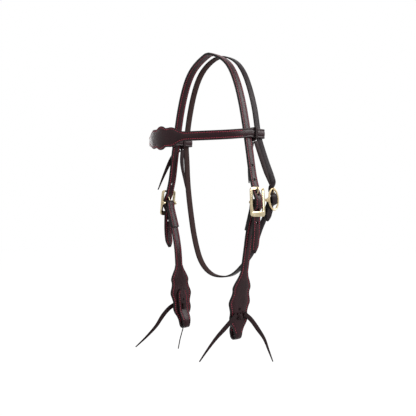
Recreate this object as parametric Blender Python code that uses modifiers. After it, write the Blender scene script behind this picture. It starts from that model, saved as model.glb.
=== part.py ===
"""A western headstall of doubled, stitched leather with brass buckles and leather lace ties.

It hangs as it would on a horse that faces -Y, so left is the horse's left, +X. The origin is
under the crown strap where it rests on the poll. All lengths are in metres.
"""

import math

import bmesh
import bpy
import numpy as np
from mathutils import Matrix, Vector

OBJECT_NAME = "western_headstall"

# Fits
fit_gap = 0.0003  # between pieces that touch
cutter_overrun = 0.004  # how far a cutter stands out of the wall that it cuts
edge_round = 0.0005  # worn round edge of every strap

# Crown strap, one strap from buckle to buckle over the poll
crown_width = 0.0159
crown_thickness = 0.004
crown_tail_length = 0.085  # below the buckle's centre bar
crown_tip_length = 0.014
crown_tip_width = 0.005
poll_flat_length = 0.008  # the level stretch under which the strap rests
hole_pitch = 0.0254
hole_diameter = 0.0042
tongue_slot_length = 0.0088
holes_above_tongue = 2
holes_below_tongue = 2

# Cheek buckles, rectangular, with a centre bar behind the frame
crown_spread = 0.111  # from the middle of the head to the strap just above a buckle
left_bar_spread = 0.1165  # from the middle of the head to the near centre bar
right_bar_spread = 0.1195  # and to the far one, which hangs wider
left_frame_lean_share = 0.05  # how far the frame's foot stands out, as a share of its height
right_frame_lean_share = 0.14
bar_drop = 0.2655  # from the poll down to a centre bar
frame_width = 0.032
frame_height = 0.049
frame_thickness = 0.003
frame_side_bar = 0.0043
frame_top_bar = 0.0034
frame_bottom_bar = 0.0086
frame_corner = 0.0055
frame_standoff = 0.0048  # from the centre bar out to the middle of the frame
frame_edge_round = 0.0007
bar_diameter = 0.0034
lug_wall = 0.0012
billet_run = 0.0015  # how far inside a frame's bar the strap lies level with it
billet_turn = math.radians(32)  # how far round the folded cheek strap the billet bends
tongue_diameter = 0.0022

# Cheek straps
cheek_width = 0.0159
cheek_thickness = 0.0034
cheek_drop = 0.236  # from the centre bar down to the foot of the bit loop
left_cheek_lean_share = 0.32  # how far in the top of the strap runs, as a share of its depth
right_cheek_lean_share = 0.38
cheek_stitched_length = 0.050  # the stitched end below the centre bar
cheek_close_length = 0.012  # the two plies meet this far below the bar
cheek_slot_depth = 0.0052  # how far the tongue's slot reaches below the bar
tongue_slot_gap = 0.0007
bit_loop_gap = 0.0085  # room for a bit's cheek piece
bit_loop_height = 0.012
bit_tie_height = 0.041
bit_hole_height = 0.053
bit_fold_back = 0.073  # the turned-up end above the foot of the loop
bit_scallop_length = 0.117
bit_scallop_width = 0.048
bit_fold_width = 0.022
bit_foot_width = 0.015
bit_hole_diameter = 0.0045

# Throatlatch, one single ply strap
throat_width = 0.0127
throat_thickness = 0.0025
throat_setback = 0.025  # behind the crown strap
throat_stand_out = 0.0015  # outside the crown strap
throat_drop = 0.403  # from the poll to the lowest place under the jaw
throat_spread = 0.0995
throat_buckle_drop = 0.26
throat_buckle_spread = 0.1025
throat_buckle_setback = 0.0525
throat_tail_length = 0.038
throat_tip_width = 0.004
throat_stitched_length = 0.030
throat_close_length = 0.009
throat_frame_width = 0.0255
throat_frame_height = 0.040
throat_wire_diameter = 0.0034
throat_frame_standoff = 0.006
throat_bar_diameter = 0.003
throat_tongue_diameter = 0.002
throat_frame_tilt_share = 0.13  # how far the buckle's foot stands back, as a share of its height
throat_lean_share = 0.19  # how far in the strap under the buckle runs, as a share of its depth
throat_forward_share = 0.50  # and how far forward
throat_hole_length = 0.0074
throat_slot_depth = 0.0046

# Browband
browband_width = 0.0159
browband_thickness = 0.003
browband_drop = 0.148  # from the poll to the middle of the band at the loops
browband_dip = 0.009  # how much lower its middle is
browband_reach = 0.109  # how far it stands forward
browband_clearance = 0.0005
browband_slide = 0.003  # how far it can slide up and down the straps
browband_scallop_height = 0.0406
browband_scallop_length = 0.106
browband_loop_room = 0.0015  # behind the throatlatch
browband_lap = 0.026  # the loop's end, forward of the crown strap's middle

# Leather laces
lace_width = 0.0085
lace_thickness = 0.0018
lace_tip_width = 0.0016
wrap_width = 0.0050
knot_height = 0.0062
knot_width = 0.0125
tie_stem_diameter = 0.0042
tie_stem_gap = 0.0004
tie_cross_share = 0.71  # how steeply the two laces cross, as rise over run

# How finely curves are divided
long_step = 0.0095
dense_step = 0.0006
settle_length = 0.009
fine_step = 0.0044
fold_steps = 9

# Places along a route, as shares of the sizes named beside them
# Crown: shares of crown_spread and bar_drop, from the poll down
crown_route_shares = (
    (0.072, 0.0030),
    (0.111, 0.0090),
    (0.165, 0.0185),
    (0.236, 0.0309),
    (0.324, 0.0508),
    (0.406, 0.0740),
    (0.467, 0.0972),
    (0.513, 0.1213),
    (0.554, 0.1461),
    (0.618, 0.1974),
    (0.672, 0.2501),
    (0.718, 0.3043),
    (0.758, 0.3593),
    (0.793, 0.4147),
    (0.841, 0.5058),
    (0.871, 0.5650),
    (0.914, 0.6621),
    (0.938, 0.7145),
    (0.964, 0.7786),
    (0.998, 0.8500),
)
crown_tail_lean_shares = {"left": -0.10, "right": -0.165}  # of crown_tail_length
tail_bow_share = 0.3  # of that lean, halfway down the tail
# Cheeks: outward and upward from the centre bar, shares of cheek_drop
cheek_route_shares = {
    "left": ((-0.083, -0.341), (-0.114, -0.506), (-0.149, -0.655), (-0.1685, -0.7605), (-0.174, -0.8665)),
    "right": ((-0.110, -0.358), (-0.128, -0.515), (-0.143, -0.655), (-0.157, -0.7605), (-0.170, -0.8665)),
}
cheek_foot_shares = {"left": -0.1755, "right": -0.177}
# Bit end: height as a share of bit_scallop_length, width as a share of bit_scallop_width
bit_outline_shares = (
    (0.00, 0.330),
    (0.06, 0.330),
    (0.12, 0.392),
    (0.18, 0.530),
    (0.24, 0.740),
    (0.29, 0.840),
    (0.335, 0.865),
    (0.405, 0.815),
    (0.47, 0.890),
    (0.54, 1.000),
    (0.59, 0.965),
    (0.655, 0.845),
    (0.71, 0.795),
    (0.77, 0.845),
    (0.825, 0.760),
    (0.885, 0.600),
    (0.94, 0.445),
    (1.00, 0.352),
)
# Turned-up end: height as a share of bit_fold_back, width as a share of bit_fold_width
bit_fold_outline_shares = ((0.0, 0.69), (0.14, 0.76), (0.28, 0.92), (0.5, 1.0), (0.82, 1.0), (0.93, 0.8), (1.0, 0.36))
# Browband's front: distance as a share of half its length, height as a share of its height
browband_outline_shares = (
    (0.00, 1.000),
    (0.10, 0.950),
    (0.20, 0.812),
    (0.25, 0.790),
    (0.34, 0.795),
    (0.44, 0.815),
    (0.53, 0.780),
    (0.62, 0.680),
    (0.75, 0.520),
    (0.87, 0.420),
    (1.00, 0.392),
)
# Throatlatch: sideways, back and down, shares of throat_spread, throat_setback and throat_drop
throat_arch_shares = (
    (-0.913, 1.01, 0.2740),
    (-0.874, 1.01, 0.2372),
    (-0.828, 1.00, 0.2006),
    (-0.777, 0.99, 0.1645),
    (-0.716, 0.99, 0.1294),
    (-0.643, 0.98, 0.0954),
    (-0.547, 0.98, 0.0628),
    (-0.479, 0.98, 0.0462),
    (-0.385, 0.98, 0.0300),
    (-0.275, 0.98, 0.0160),
    (-0.140, 0.98, 0.0040),
    (0.000, 0.98, 0.0000),
    (0.140, 0.98, 0.0040),
    (0.275, 0.98, 0.0160),
    (0.385, 0.98, 0.0300),
    (0.479, 0.98, 0.0462),
    (0.547, 0.98, 0.0628),
    (0.643, 0.98, 0.0954),
    (0.716, 0.99, 0.1294),
    (0.777, 0.99, 0.1645),
    (0.828, 1.00, 0.2006),
    (0.874, 1.01, 0.2372),
    (0.913, 1.01, 0.2740),
)
# Its near leg: the same three of throat_buckle_spread, throat_buckle_setback and throat_buckle_drop
throat_near_shares = ((0.982, 0.619, 0.6715), (1.015, 0.795, 0.774), (1.054, 0.975, 0.876))
throat_far_shares = (
    (-1.000, 1.08, 0.440),
    (-0.988, 1.15, 0.560),
    (-0.957, 1.23, 0.654),
    (-0.885, 1.23, 0.745),
    (-0.797, 1.22, 0.829),
    (-0.642, 1.22, 0.925),
    (-0.436, 1.22, 0.977),
    (-0.220, 1.22, 0.998),
    (-0.023, 1.22, 1.000),
    (0.200, 1.22, 0.993),
    (0.386, 1.22, 0.972),
    (0.533, 1.23, 0.942),
    (0.660, 1.24, 0.912),
    (0.764, 1.26, 0.884),
    (0.855, 1.31, 0.832),
    (0.915, 1.40, 0.783),
)

# Lace tails: points chosen along each free end, from its knot to its tip
browband_tail_points = {
    "left_browband_tie_rear_tail": ((0.1018, 0.0150, -0.1613), (0.1042, 0.0187, -0.1745), (0.1074, 0.0278, -0.2010), (0.1102, 0.0355, -0.2220), (0.1122, 0.0415, -0.2385)),
    "left_browband_tie_front_tail": ((0.0962, 0.0126, -0.1622), (0.0950, 0.0095, -0.1800), (0.0960, 0.0060, -0.1980), (0.0980, 0.0030, -0.2150), (0.1005, 0.0010, -0.2330)),
    "right_browband_tie_front_tail": ((-0.1032, 0.0122, -0.1616), (-0.1070, 0.0020, -0.1720), (-0.1100, -0.0070, -0.1880), (-0.1165, -0.0165, -0.2140), (-0.1240, -0.0240, -0.2400)),
    "right_browband_tie_rear_tail": ((-0.0955, 0.0136, -0.1622), (-0.0950, 0.0115, -0.1800), (-0.0945, 0.0125, -0.1980), (-0.0940, 0.0160, -0.2160), (-0.0935, 0.0200, -0.2360)),
}
bit_tail_points = {
    "left_bit_tie_front_tail": ((0.0806, -0.0099, -0.4562), (0.0810, -0.0210, -0.4650), (0.0800, -0.0360, -0.4770), (0.0770, -0.0520, -0.4910), (0.0740, -0.0680, -0.5080), (0.0700, -0.0830, -0.5270)),
    "left_bit_tie_rear_tail": ((0.0806, 0.0092, -0.4572), (0.0810, 0.0250, -0.4690), (0.0820, 0.0415, -0.4880), (0.0815, 0.0575, -0.5070), (0.0800, 0.0705, -0.5300), (0.0790, 0.0820, -0.5510)),
    "right_bit_tie_front_tail": ((-0.0854, -0.0091, -0.4560), (-0.0880, -0.0240, -0.4640), (-0.0900, -0.0380, -0.4770), (-0.0920, -0.0520, -0.4950), (-0.0970, -0.0700, -0.5130), (-0.1050, -0.0890, -0.5310)),
    "right_bit_tie_rear_tail": ((-0.0862, 0.0098, -0.4580), (-0.0880, 0.0170, -0.4690), (-0.0905, 0.0170, -0.4880), (-0.0935, 0.0130, -0.5080), (-0.0980, 0.0095, -0.5290), (-0.1030, 0.0090, -0.5480)),
}
edge_on_tails = ("right_bit_tie_rear_tail",)
taper_start_share = 0.35  # of a tail's length, where it begins to narrow
blunt_tail_shares = {"left_browband_tie_rear_tail": 0.7}


def clear_scene():
    for obj in list(bpy.data.objects):
        bpy.data.objects.remove(obj, do_unlink=True)


def collection(name, hidden=False):
    made = bpy.data.collections.new(name)
    made.hide_render = hidden
    bpy.context.scene.collection.children.link(made)
    return made


def material(name, colour, roughness, metallic):
    made = bpy.data.materials.new(name)
    made.use_nodes = True
    shader = made.node_tree.nodes["Principled BSDF"]
    shader.inputs["Base Color"].default_value = (*colour, 1.0)
    shader.inputs["Roughness"].default_value = roughness
    shader.inputs["Metallic"].default_value = metallic
    return made


clear_scene()
PARTS = collection(OBJECT_NAME)
CUTTERS = collection("cutters", hidden=True)
LATIGO = material("latigo_leather", (0.042, 0.016, 0.018), 0.38, 0.0)
STRAP_LEATHER = material("single_ply_leather", (0.055, 0.024, 0.022), 0.5, 0.0)
LACE_LEATHER = material("lace_leather", (0.06, 0.02, 0.018), 0.55, 0.0)
BRASS = material("brass", (0.75, 0.56, 0.26), 0.22, 1.0)


def link(name, mesh, finish=None, parent=None):
    """A part when it has a finish, and otherwise a cutter."""
    obj = bpy.data.objects.new(name, mesh)
    (PARTS if finish else CUTTERS).objects.link(obj)
    if finish:
        mesh.materials.clear()
        mesh.materials.append(finish)
        for face in mesh.polygons:
            face.use_smooth = True
        mesh.set_sharp_from_angle(angle=math.radians(40))
    else:
        obj.hide_render = True
        obj.display_type = "WIRE"
    if parent:
        obj.parent = parent
        obj.matrix_parent_inverse = Matrix.Translation(-parent.location)
    return obj


def pivot(name, place):
    """An empty on a joint's axis, which carries the pieces that turn there."""
    empty = bpy.data.objects.new(name, None)
    empty.location = place
    PARTS.objects.link(empty)
    return empty


def smooth_route(points, step):
    """Even stations on a smooth curve through the points."""
    points = np.array(points, float)
    padded = np.vstack([2 * points[0] - points[1], points, 2 * points[-1] - points[-2]])
    dense = []
    for i in range(1, len(padded) - 2):
        before, start, end, after = padded[i - 1 : i + 3]
        for t in np.linspace(0, 1, 24, endpoint=False):
            dense.append(
                start
                + (end - before) * t / 2
                + (2 * before - 5 * start + 4 * end - after) * t * t / 2
                + (3 * start - before - 3 * end + after) * t * t * t / 2
            )
    dense.append(padded[-2])
    return even(np.array(dense), step)


def settle(line, loose):
    """Evens out the bends of a dense line where it is loose."""
    line = line.copy()
    step = np.linalg.norm(line[1] - line[0])
    for _ in range(int(2 * (settle_length / step) ** 2)):
        middle = (line[:-2] + 2 * line[1:-1] + line[2:]) / 4
        line[1:-1] = np.where(loose[1:-1, None], middle, line[1:-1])
    return line


def by_bend(dense, longest, bend, shortest):
    """Picks the stations of a dense line: close together where it bends."""
    runs = np.diff(dense, axis=0)
    steps = np.linalg.norm(runs, axis=1)
    runs /= steps[:, None]
    turns = np.degrees(np.arccos(np.clip((runs[1:] * runs[:-1]).sum(1), -1, 1)))
    stations, since, turned = [0], 0.0, 0.0
    for i in range(1, len(dense) - 1):
        since += steps[i - 1]
        turned += turns[i - 1]
        longest_here = longest(i) if callable(longest) else longest
        if since >= longest_here or (turned > bend and since > shortest):
            stations.append(i)
            since, turned = 0.0, 0.0
    if steps[stations[-1] :].sum() < shortest and len(stations) > 1:
        stations.pop()
    return stations + [len(dense) - 1]


def lengths_along(line):
    return np.concatenate([[0], np.cumsum(np.linalg.norm(np.diff(line, axis=0), axis=1))])


def even(line, step):
    along = lengths_along(line)
    count = max(2, int(round(along[-1] / step)) + 1)
    places = np.linspace(0, along[-1], count)
    return np.stack([np.interp(places, along, line[:, k]) for k in range(line.shape[1])], axis=1)


def arc(centre, radius, start, end, steps):
    """Points of an arc in a plane, from one angle in radians to another."""
    return [
        (centre[0] + radius * math.cos(a), centre[1] + radius * math.sin(a))
        for a in np.linspace(start, end, steps + 1)
    ]


def outline_width(shares, share):
    places, widths = zip(*shares)
    return float(np.interp(share, places, widths))


def strap(name, line, wide, widths, thickness, finish=None, parent=None, rounding=edge_round):
    """A leather strap: a flat strip drawn along a line, thickened, with round edges."""
    line = [Vector(p) for p in line]
    wide = [Vector(w).normalized() for w in wide]
    bm = bmesh.new()
    ends = [bm.verts.new(line[0] + wide[0] * widths[0] / 2 * s) for s in (-1, 1)]
    edge = bm.edges.new(ends)
    for place, across, width in zip(line[1:], wide[1:], widths[1:]):
        made = bmesh.ops.extrude_edge_only(bm, edges=[edge])["geom"]
        fresh = [g for g in made if isinstance(g, bmesh.types.BMVert)]
        fresh.sort(key=lambda v: (v.co - ends[0].co).length)
        for vert, s in zip(fresh, (-1, 1)):
            vert.co = place + across * width / 2 * s
        ends = fresh
        edge = bm.edges.get(ends)
    bmesh.ops.recalc_face_normals(bm, faces=bm.faces)
    mesh = bpy.data.meshes.new(name)
    bm.to_mesh(mesh)
    bm.free()
    obj = link(name, mesh, finish, parent)
    ply = obj.modifiers.new("ply", "SOLIDIFY")
    ply.thickness = thickness
    ply.offset = 0
    ply.use_even_offset = True
    if rounding:
        soften = obj.modifiers.new("soften", "BEVEL")
        soften.width = rounding
        soften.segments = 1
        soften.limit_method = "ANGLE"
        soften.angle_limit = math.radians(55)
    return obj


def cut(obj, cutter, operation="DIFFERENCE"):
    change = obj.modifiers.new(cutter.name, "BOOLEAN")
    change.operation = operation
    change.object = cutter
    change.solver = "EXACT"


def add_cylinder(bm, centre, axis, radius, length, sides, stretch=1.0, along=None):
    """A cylinder in a bmesh, drawn out along one direction for a slot."""
    made = bmesh.ops.create_cone(
        bm, cap_ends=True, segments=sides, radius1=radius, radius2=radius, depth=length
    )["verts"]
    turn = Vector((0, 0, 1)).rotation_difference(Vector(axis)).to_matrix()
    for vert in made:
        vert.co = turn @ vert.co
    if along is not None:
        along = Vector(along).normalized()
        for vert in made:
            side = 1 if vert.co.dot(along) > 0 else -1
            vert.co += along * side * stretch
    for vert in made:
        vert.co += Vector(centre)


def mesh_object(name, bm, finish=None, parent=None):
    bmesh.ops.recalc_face_normals(bm, faces=bm.faces)
    if bm.calc_volume(signed=True) < 0:
        bmesh.ops.reverse_faces(bm, faces=bm.faces)
    mesh = bpy.data.meshes.new(name)
    bm.to_mesh(mesh)
    bm.free()
    return link(name, mesh, finish, parent)


def tube(name, points, radius, finish=None, parent=None, closed=False, detail=2):
    """A round wire along points, as a curve with a bevel, made a mesh."""
    data = bpy.data.curves.new(name, "CURVE")
    data.dimensions = "3D"
    data.bevel_depth = radius
    data.bevel_resolution = detail
    data.use_fill_caps = not closed
    spline = data.splines.new("POLY")
    spline.points.add(len(points) - 1)
    for point, place in zip(spline.points, points):
        point.co = (*place, 1)
    spline.use_cyclic_u = closed
    guide = bpy.data.objects.new(name + "_guide", data)
    CUTTERS.objects.link(guide)
    mesh = bpy.data.meshes.new_from_object(guide.evaluated_get(bpy.context.evaluated_depsgraph_get()))
    bpy.data.objects.remove(guide, do_unlink=True)
    bm = bmesh.new()
    bm.from_mesh(mesh)
    bpy.data.meshes.remove(mesh)
    bmesh.ops.remove_doubles(bm, verts=bm.verts, dist=fit_gap / 30)
    return mesh_object(name, bm, finish, parent)


class Seat:
    """A buckle's own axes: out of the head, up the strap and across it, from its centre bar."""

    def __init__(self, place, out, up):
        self.place = Vector(place)
        self.out = Vector(out).normalized()
        self.up = Vector(up).normalized()
        self.across = self.up.cross(self.out).normalized()

    def at(self, out, up, across=0.0):
        return self.place + self.out * out + self.up * up + self.across * across


def crown_offset_at_bar():
    """How far the crown strap's middle passes outside the centre bar."""
    return bar_diameter / 2 + fit_gap + cheek_thickness + fit_gap + crown_thickness / 2


def crown_offset_at_frame():
    return frame_standoff - frame_thickness / 2 - fit_gap - crown_thickness / 2


def bar_seat(side):
    """Level axes at a cheek buckle's centre bar."""
    sign, spread = (1, left_bar_spread) if side == "left" else (-1, right_bar_spread)
    return Seat((sign * spread, 0, -bar_drop), (sign, 0, 0), (0, 0, 1))


def buckle_seat(side):
    """The leaning axes of a cheek buckle, whose foot stands out from the head."""
    level = bar_seat(side)
    lean = math.atan(left_frame_lean_share if side == "left" else right_frame_lean_share)
    out = level.out * math.cos(lean) + level.up * math.sin(lean)
    return Seat(level.place, out, level.up * math.cos(lean) - level.out * math.sin(lean))


def cheek_lean(side):
    return math.atan(left_cheek_lean_share if side == "left" else right_cheek_lean_share)


def crown_line():
    """Stations from the left tip over the poll to the right tip, and the two stretches' ends."""
    under = crown_thickness / 2
    halves = []
    for side in ("left", "right"):
        sign = 1 if side == "left" else -1
        seat = buckle_seat(side)
        points = [Vector((sign * poll_flat_length / 2, 0, under))]
        for out_share, drop_share in crown_route_shares:
            points.append(Vector((sign * out_share * crown_spread, 0, under - drop_share * bar_drop)))
        high = frame_height / 2
        behind, over = crown_offset_at_frame(), crown_offset_at_bar()
        above = high - frame_top_bar - billet_run
        below = -high + frame_bottom_bar + billet_run
        points.append(seat.at(behind, high))
        points.append(seat.at(behind, above))
        for turn in (billet_turn, 0, -billet_turn):
            points.append(seat.at(over * math.cos(turn), over * math.sin(turn)))
        points.append(seat.at(behind, below))
        points.append(seat.at(behind, -high))
        lean = crown_tail_lean_shares[side] * crown_tail_length
        points.append(seat.at(behind + lean * tail_bow_share, -(high + crown_tail_length) / 2))
        points.append(seat.at(behind + lean, -crown_tail_length))
        line = smooth_route(points, dense_step)
        loose = (line[:, 2] > frame_height * 0.6 - bar_drop) & (np.abs(line[:, 0]) > poll_flat_length * 0.7)
        line = settle(line, loose)
        halves.append(line[by_bend(line, long_step * 1.15, 6, long_step * 0.25)])
    return np.vstack([halves[0][::-1], halves[1]])


def tip_widths(line, width, tip_length, tip_width, both):
    along = lengths_along(line)
    widths = np.full(len(line), width)
    ends = [along[-1] - along] + ([along] if both else [])
    for left in ends:
        near = left < tip_length
        widths[near] = tip_width + (width - tip_width) * np.sin(left[near] / tip_length * math.pi / 2)
    return widths


def with_tip_stations(line, tip_length, both):
    """The line with extra stations where its tips narrow."""
    along = lengths_along(line)
    extra = [along[-1] - tip_length * s for s in (0.2, 0.45, 0.7, 1.0)]
    if both:
        extra += [tip_length * s for s in (0.2, 0.45, 0.7, 1.0)]
    places = np.array(sorted(set(along) | set(extra)))
    keep = np.concatenate([[True], np.diff(places) > tip_length / 12])
    places = places[keep]
    return np.stack([np.interp(places, along, line[:, k]) for k in range(3)], axis=1)


def tongue_line(seat, bar, wire, standoff, frame_deep, high, rest_bar):
    """A tongue's wire: hooked round the centre bar, then through the strap and onto the far bar."""
    hook = bar / 2 + fit_gap + wire / 2
    leave = math.radians(143)
    points = arc((0, 0), hook, math.radians(-65 - 0), leave - 2 * math.pi, 12)
    rest = standoff + frame_deep / 2 + fit_gap + wire / 2
    tip = high - rest_bar / 2
    points += [
        (rest * 0.14, tip * 0.33),
        (rest * 0.48, tip * 0.52),
        (rest * 0.80, tip * 0.70),
        (rest * 0.97, tip * 0.85),
        (rest, tip * 0.97),
        (rest, tip + rest_bar * 0.75),
    ]
    return [seat.at(*p) for p in points]


def crossing(line_a, line_b):
    """Where two lines come nearest: the place and the share along the first."""
    best = min(
        ((a - Vector(b)).length, i, a) for i, a in enumerate(line_a) for b in [min(line_b, key=lambda q: (a - Vector(q)).length)]
    )
    return best[2], best[1]


def build_crown():
    line = with_tip_stations(crown_line(), crown_tip_length, both=True)
    widths = tip_widths(line, crown_width, crown_tip_length, crown_tip_width, both=True)
    crown = strap("crown_strap", line, [(0, 1, 0)] * len(line), widths, crown_thickness, LATIGO)
    fine = even(crown_line(), hole_pitch / 40)
    along = lengths_along(fine)
    bm = bmesh.new()
    for side in ("left", "right"):
        seat = buckle_seat(side)
        wire = tongue_line(
            seat, bar_diameter, tongue_diameter, frame_standoff, frame_thickness, frame_height / 2, frame_top_bar
        )
        dense = [wire[i].lerp(wire[i + 1], t) for i in range(12, len(wire) - 1) for t in np.linspace(0, 1, 20)]
        half = fine[: len(fine) // 2] if side == "left" else fine[len(fine) // 2 :]
        start = 0 if side == "left" else len(fine) // 2
        near = [min((Vector(p) - q).length for q in dense) for p in half]
        crossing_index = start + int(np.argmin(near))
        uphill = 1 if side == "left" else -1
        for k in range(-holes_below_tongue, holes_above_tongue + 1):
            place = along[crossing_index] + uphill * k * hole_pitch
            i = int(np.clip(np.searchsorted(along, place), 1, len(fine) - 2))
            run = (Vector(fine[i + 1]) - Vector(fine[i - 1])).normalized()
            axis = run.cross(Vector((0, 1, 0)))
            length = crown_thickness + 2 * cutter_overrun
            if k:
                add_cylinder(bm, fine[i], axis, hole_diameter / 2, length, 12)
            else:
                room = tongue_diameter / 2 + tongue_slot_gap
                add_cylinder(bm, fine[i], axis, room, length, 12, tongue_slot_length / 2 - room, run)
    cut(crown, mesh_object("crown_holes", bm))
    return crown


def rounded_rectangle(width, height, radius, steps=4, centre=(0.0, 0.0)):
    points = []
    for k, (sx, sy) in enumerate(((1, 1), (-1, 1), (-1, -1), (1, -1))):
        corner = (centre[0] + sx * (width / 2 - radius), centre[1] + sy * (height / 2 - radius))
        points += arc(corner, radius, k * math.pi / 2, (k + 1) * math.pi / 2, steps)
    return points


def flat_outline(name, outlines, thickness):
    """A plate with openings, from a filled 2D curve, lying in its own XY plane."""
    data = bpy.data.curves.new(name, "CURVE")
    data.dimensions = "2D"
    data.fill_mode = "BOTH"
    data.extrude = thickness / 2
    for outline in outlines:
        spline = data.splines.new("POLY")
        spline.points.add(len(outline) - 1)
        for point, place in zip(spline.points, outline):
            point.co = (*place, 0, 1)
        spline.use_cyclic_u = True
    guide = bpy.data.objects.new(name + "_guide", data)
    CUTTERS.objects.link(guide)
    mesh = bpy.data.meshes.new_from_object(guide.evaluated_get(bpy.context.evaluated_depsgraph_get()))
    bpy.data.objects.remove(guide, do_unlink=True)
    bm = bmesh.new()
    bm.from_mesh(mesh)
    bpy.data.meshes.remove(mesh)
    bmesh.ops.remove_doubles(bm, verts=bm.verts, dist=fit_gap / 30)
    return bm


def place_in_seat(bm, seat, out):
    """Turns a plate drawn across and up into the buckle's axes."""
    frame = Matrix((seat.across, seat.up, seat.out)).transposed().to_4x4()
    frame.translation = seat.at(out, 0)
    bmesh.ops.transform(bm, matrix=frame, verts=bm.verts)


def lug_body(name, seat, bar, wall, standoff, across_from, across_to):
    """Two ears that carry the centre bar behind a buckle's frame."""
    bm = bmesh.new()
    ear = bar / 2 + fit_gap + wall
    outline = arc((0, 0), ear, math.radians(200), math.radians(500), 12)
    outline = [(p[0], p[1]) for p in arc((0, 0), ear, math.radians(90), math.radians(270), 8)]
    outline += [(standoff, -ear), (standoff, ear)]
    for sign in (-1, 1):
        rings = []
        for across in (across_from, across_to):
            rings.append([bm.verts.new(seat.at(o, u, sign * across)) for o, u in outline])
        bm.faces.new(rings[0])
        bm.faces.new(rings[1])
        for i in range(len(outline)):
            j = (i + 1) % len(outline)
            bm.faces.new((rings[0][i], rings[0][j], rings[1][j], rings[1][i]))
    return mesh_object(name, bm)


def build_buckle_bar(name, seat, bar, half, finish=BRASS, parent=None):
    """The centre bar, a pin with domed ends, turned on its own axis."""
    dome = arc((0.0, bar / 2 - half), bar / 2, math.radians(-90), 0, 4)
    profile = [(0.0, -half)] + dome[1:]
    profile += [(r, -w) for r, w in reversed(profile)]
    bm = bmesh.new()
    verts = [bm.verts.new(seat.at(0, r, w)) for r, w in profile]
    edges = [bm.edges.new(pair) for pair in zip(verts, verts[1:])]
    bmesh.ops.spin(
        bm, geom=verts + edges, cent=seat.place, axis=seat.across, angle=2 * math.pi, steps=12, use_merge=True
    )
    bmesh.ops.remove_doubles(bm, verts=bm.verts, dist=fit_gap / 30)
    return mesh_object(name, bm, finish, parent)


def build_cheek_buckle(side):
    seat = buckle_seat(side)
    inner_width = frame_width - 2 * frame_side_bar
    inner_height = frame_height - frame_top_bar - frame_bottom_bar
    middle = (frame_bottom_bar - frame_top_bar) / 2
    bm = flat_outline(
        "frame",
        (
            rounded_rectangle(frame_width, frame_height, frame_corner),
            rounded_rectangle(inner_width, inner_height, frame_corner - frame_top_bar, centre=(0.0, middle)),
        ),
        frame_thickness,
    )
    place_in_seat(bm, seat, frame_standoff)
    frame = mesh_object(f"{side}_buckle_frame", bm, BRASS)
    soften = frame.modifiers.new("soften", "BEVEL")
    soften.width = frame_edge_round
    soften.segments = 2
    soften.limit_method = "ANGLE"
    soften.angle_limit = math.radians(55)
    inner = inner_width / 2 + edge_round
    outer = frame_width / 2 - edge_round
    ears = lug_body(f"{side}_buckle_ears", seat, bar_diameter, lug_wall, frame_standoff, inner, outer)
    cut(frame, ears, "UNION")
    bm = bmesh.new()
    add_cylinder(
        bm, seat.place, seat.across, bar_diameter / 2 + fit_gap, frame_width + 2 * cutter_overrun, 16
    )
    cut(frame, mesh_object(f"{side}_buckle_bore", bm))
    build_buckle_bar(f"{side}_buckle_bar", seat, bar_diameter, frame_width / 2)
    tongue_pivot = pivot(f"{side}_tongue_pivot", seat.place)
    wire = tongue_line(
        seat, bar_diameter, tongue_diameter, frame_standoff, frame_thickness, frame_height / 2, frame_top_bar
    )
    tube(f"{side}_buckle_tongue", wire, tongue_diameter / 2, BRASS, tongue_pivot)


def cheek_layout(side):
    """The cheek strap's line in its seat's out and up axes, with a width at each station."""
    ply = cheek_thickness
    lean = cheek_lean(side)
    down = Vector((-math.sin(lean), -math.cos(lean)))
    away = Vector((math.cos(lean), -math.sin(lean)))
    apart = (ply + fit_gap) / 2
    around = bar_diameter / 2 + fit_gap + ply / 2
    turned = [down * s - away * apart for s in np.linspace(cheek_stitched_length, cheek_close_length, 4)]
    start = -lean + math.pi + math.radians(9)
    end = -lean - math.radians(9)
    fold = [Vector(p) for p in arc((0, 0), around, start, end, fold_steps)]
    upper = [down * cheek_close_length + away * apart, down * cheek_stitched_length + away * apart]
    radius = (bit_loop_gap + ply) / 2
    foot_height = radius + ply / 2
    foot_out = cheek_foot_shares[side] * cheek_drop
    route = upper + [Vector((o * cheek_drop, u * cheek_drop)) for o, u in cheek_route_shares[side]]
    route.append(Vector((foot_out, -cheek_drop + foot_height)))
    dense = smooth_route([tuple(p) for p in route], dense_step)

    def longest(i):
        return fine_step if dense[i][1] + cheek_drop < bit_scallop_length + fine_step else long_step

    coarse = dense[by_bend(dense, longest, 9, fine_step / 2)]
    outer = [Vector(p) for p in coarse]
    loop = [Vector(p) for p in arc((foot_out - radius, -cheek_drop + foot_height), radius, 0, -math.pi, fold_steps)]
    rising = []
    for height in np.arange(foot_height + fine_step, bit_fold_back + fine_step / 2, fine_step):
        level = height - cheek_drop
        beside = float(np.interp(level, coarse[::-1, 1], coarse[::-1, 0]))
        share = np.clip((height - bit_loop_height) / (bit_tie_height - bit_loop_height - fine_step), 0, 1)
        share = share * share * (3 - 2 * share)
        offset = 2 * radius * (1 - share) + (ply + 2 * fit_gap) * share
        rising.append(Vector((beside - offset, level)))
    widths = [cheek_width] * (len(turned) + len(fold))
    for point in outer:
        height = point[1] + cheek_drop
        share = height / bit_scallop_length
        widths.append(bit_scallop_width * outline_width(bit_outline_shares, share) if share < 1 else cheek_width)
    widths += [bit_foot_width] * (len(loop) - 1)
    for point in rising:
        share = (point[1] + cheek_drop) / bit_fold_back
        widths.append(bit_fold_width * outline_width(bit_fold_outline_shares, share))
    return turned + fold + outer + loop[1:] + rising, widths, outer, rising


def level_place(points, height):
    """Out axis value of a strap's middle at a height above the foot of the loop."""
    ups = [p[1] + cheek_drop for p in points]
    outs = [p[0] for p in points]
    order = np.argsort(ups)
    return float(np.interp(height, np.array(ups)[order], np.array(outs)[order]))


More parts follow.
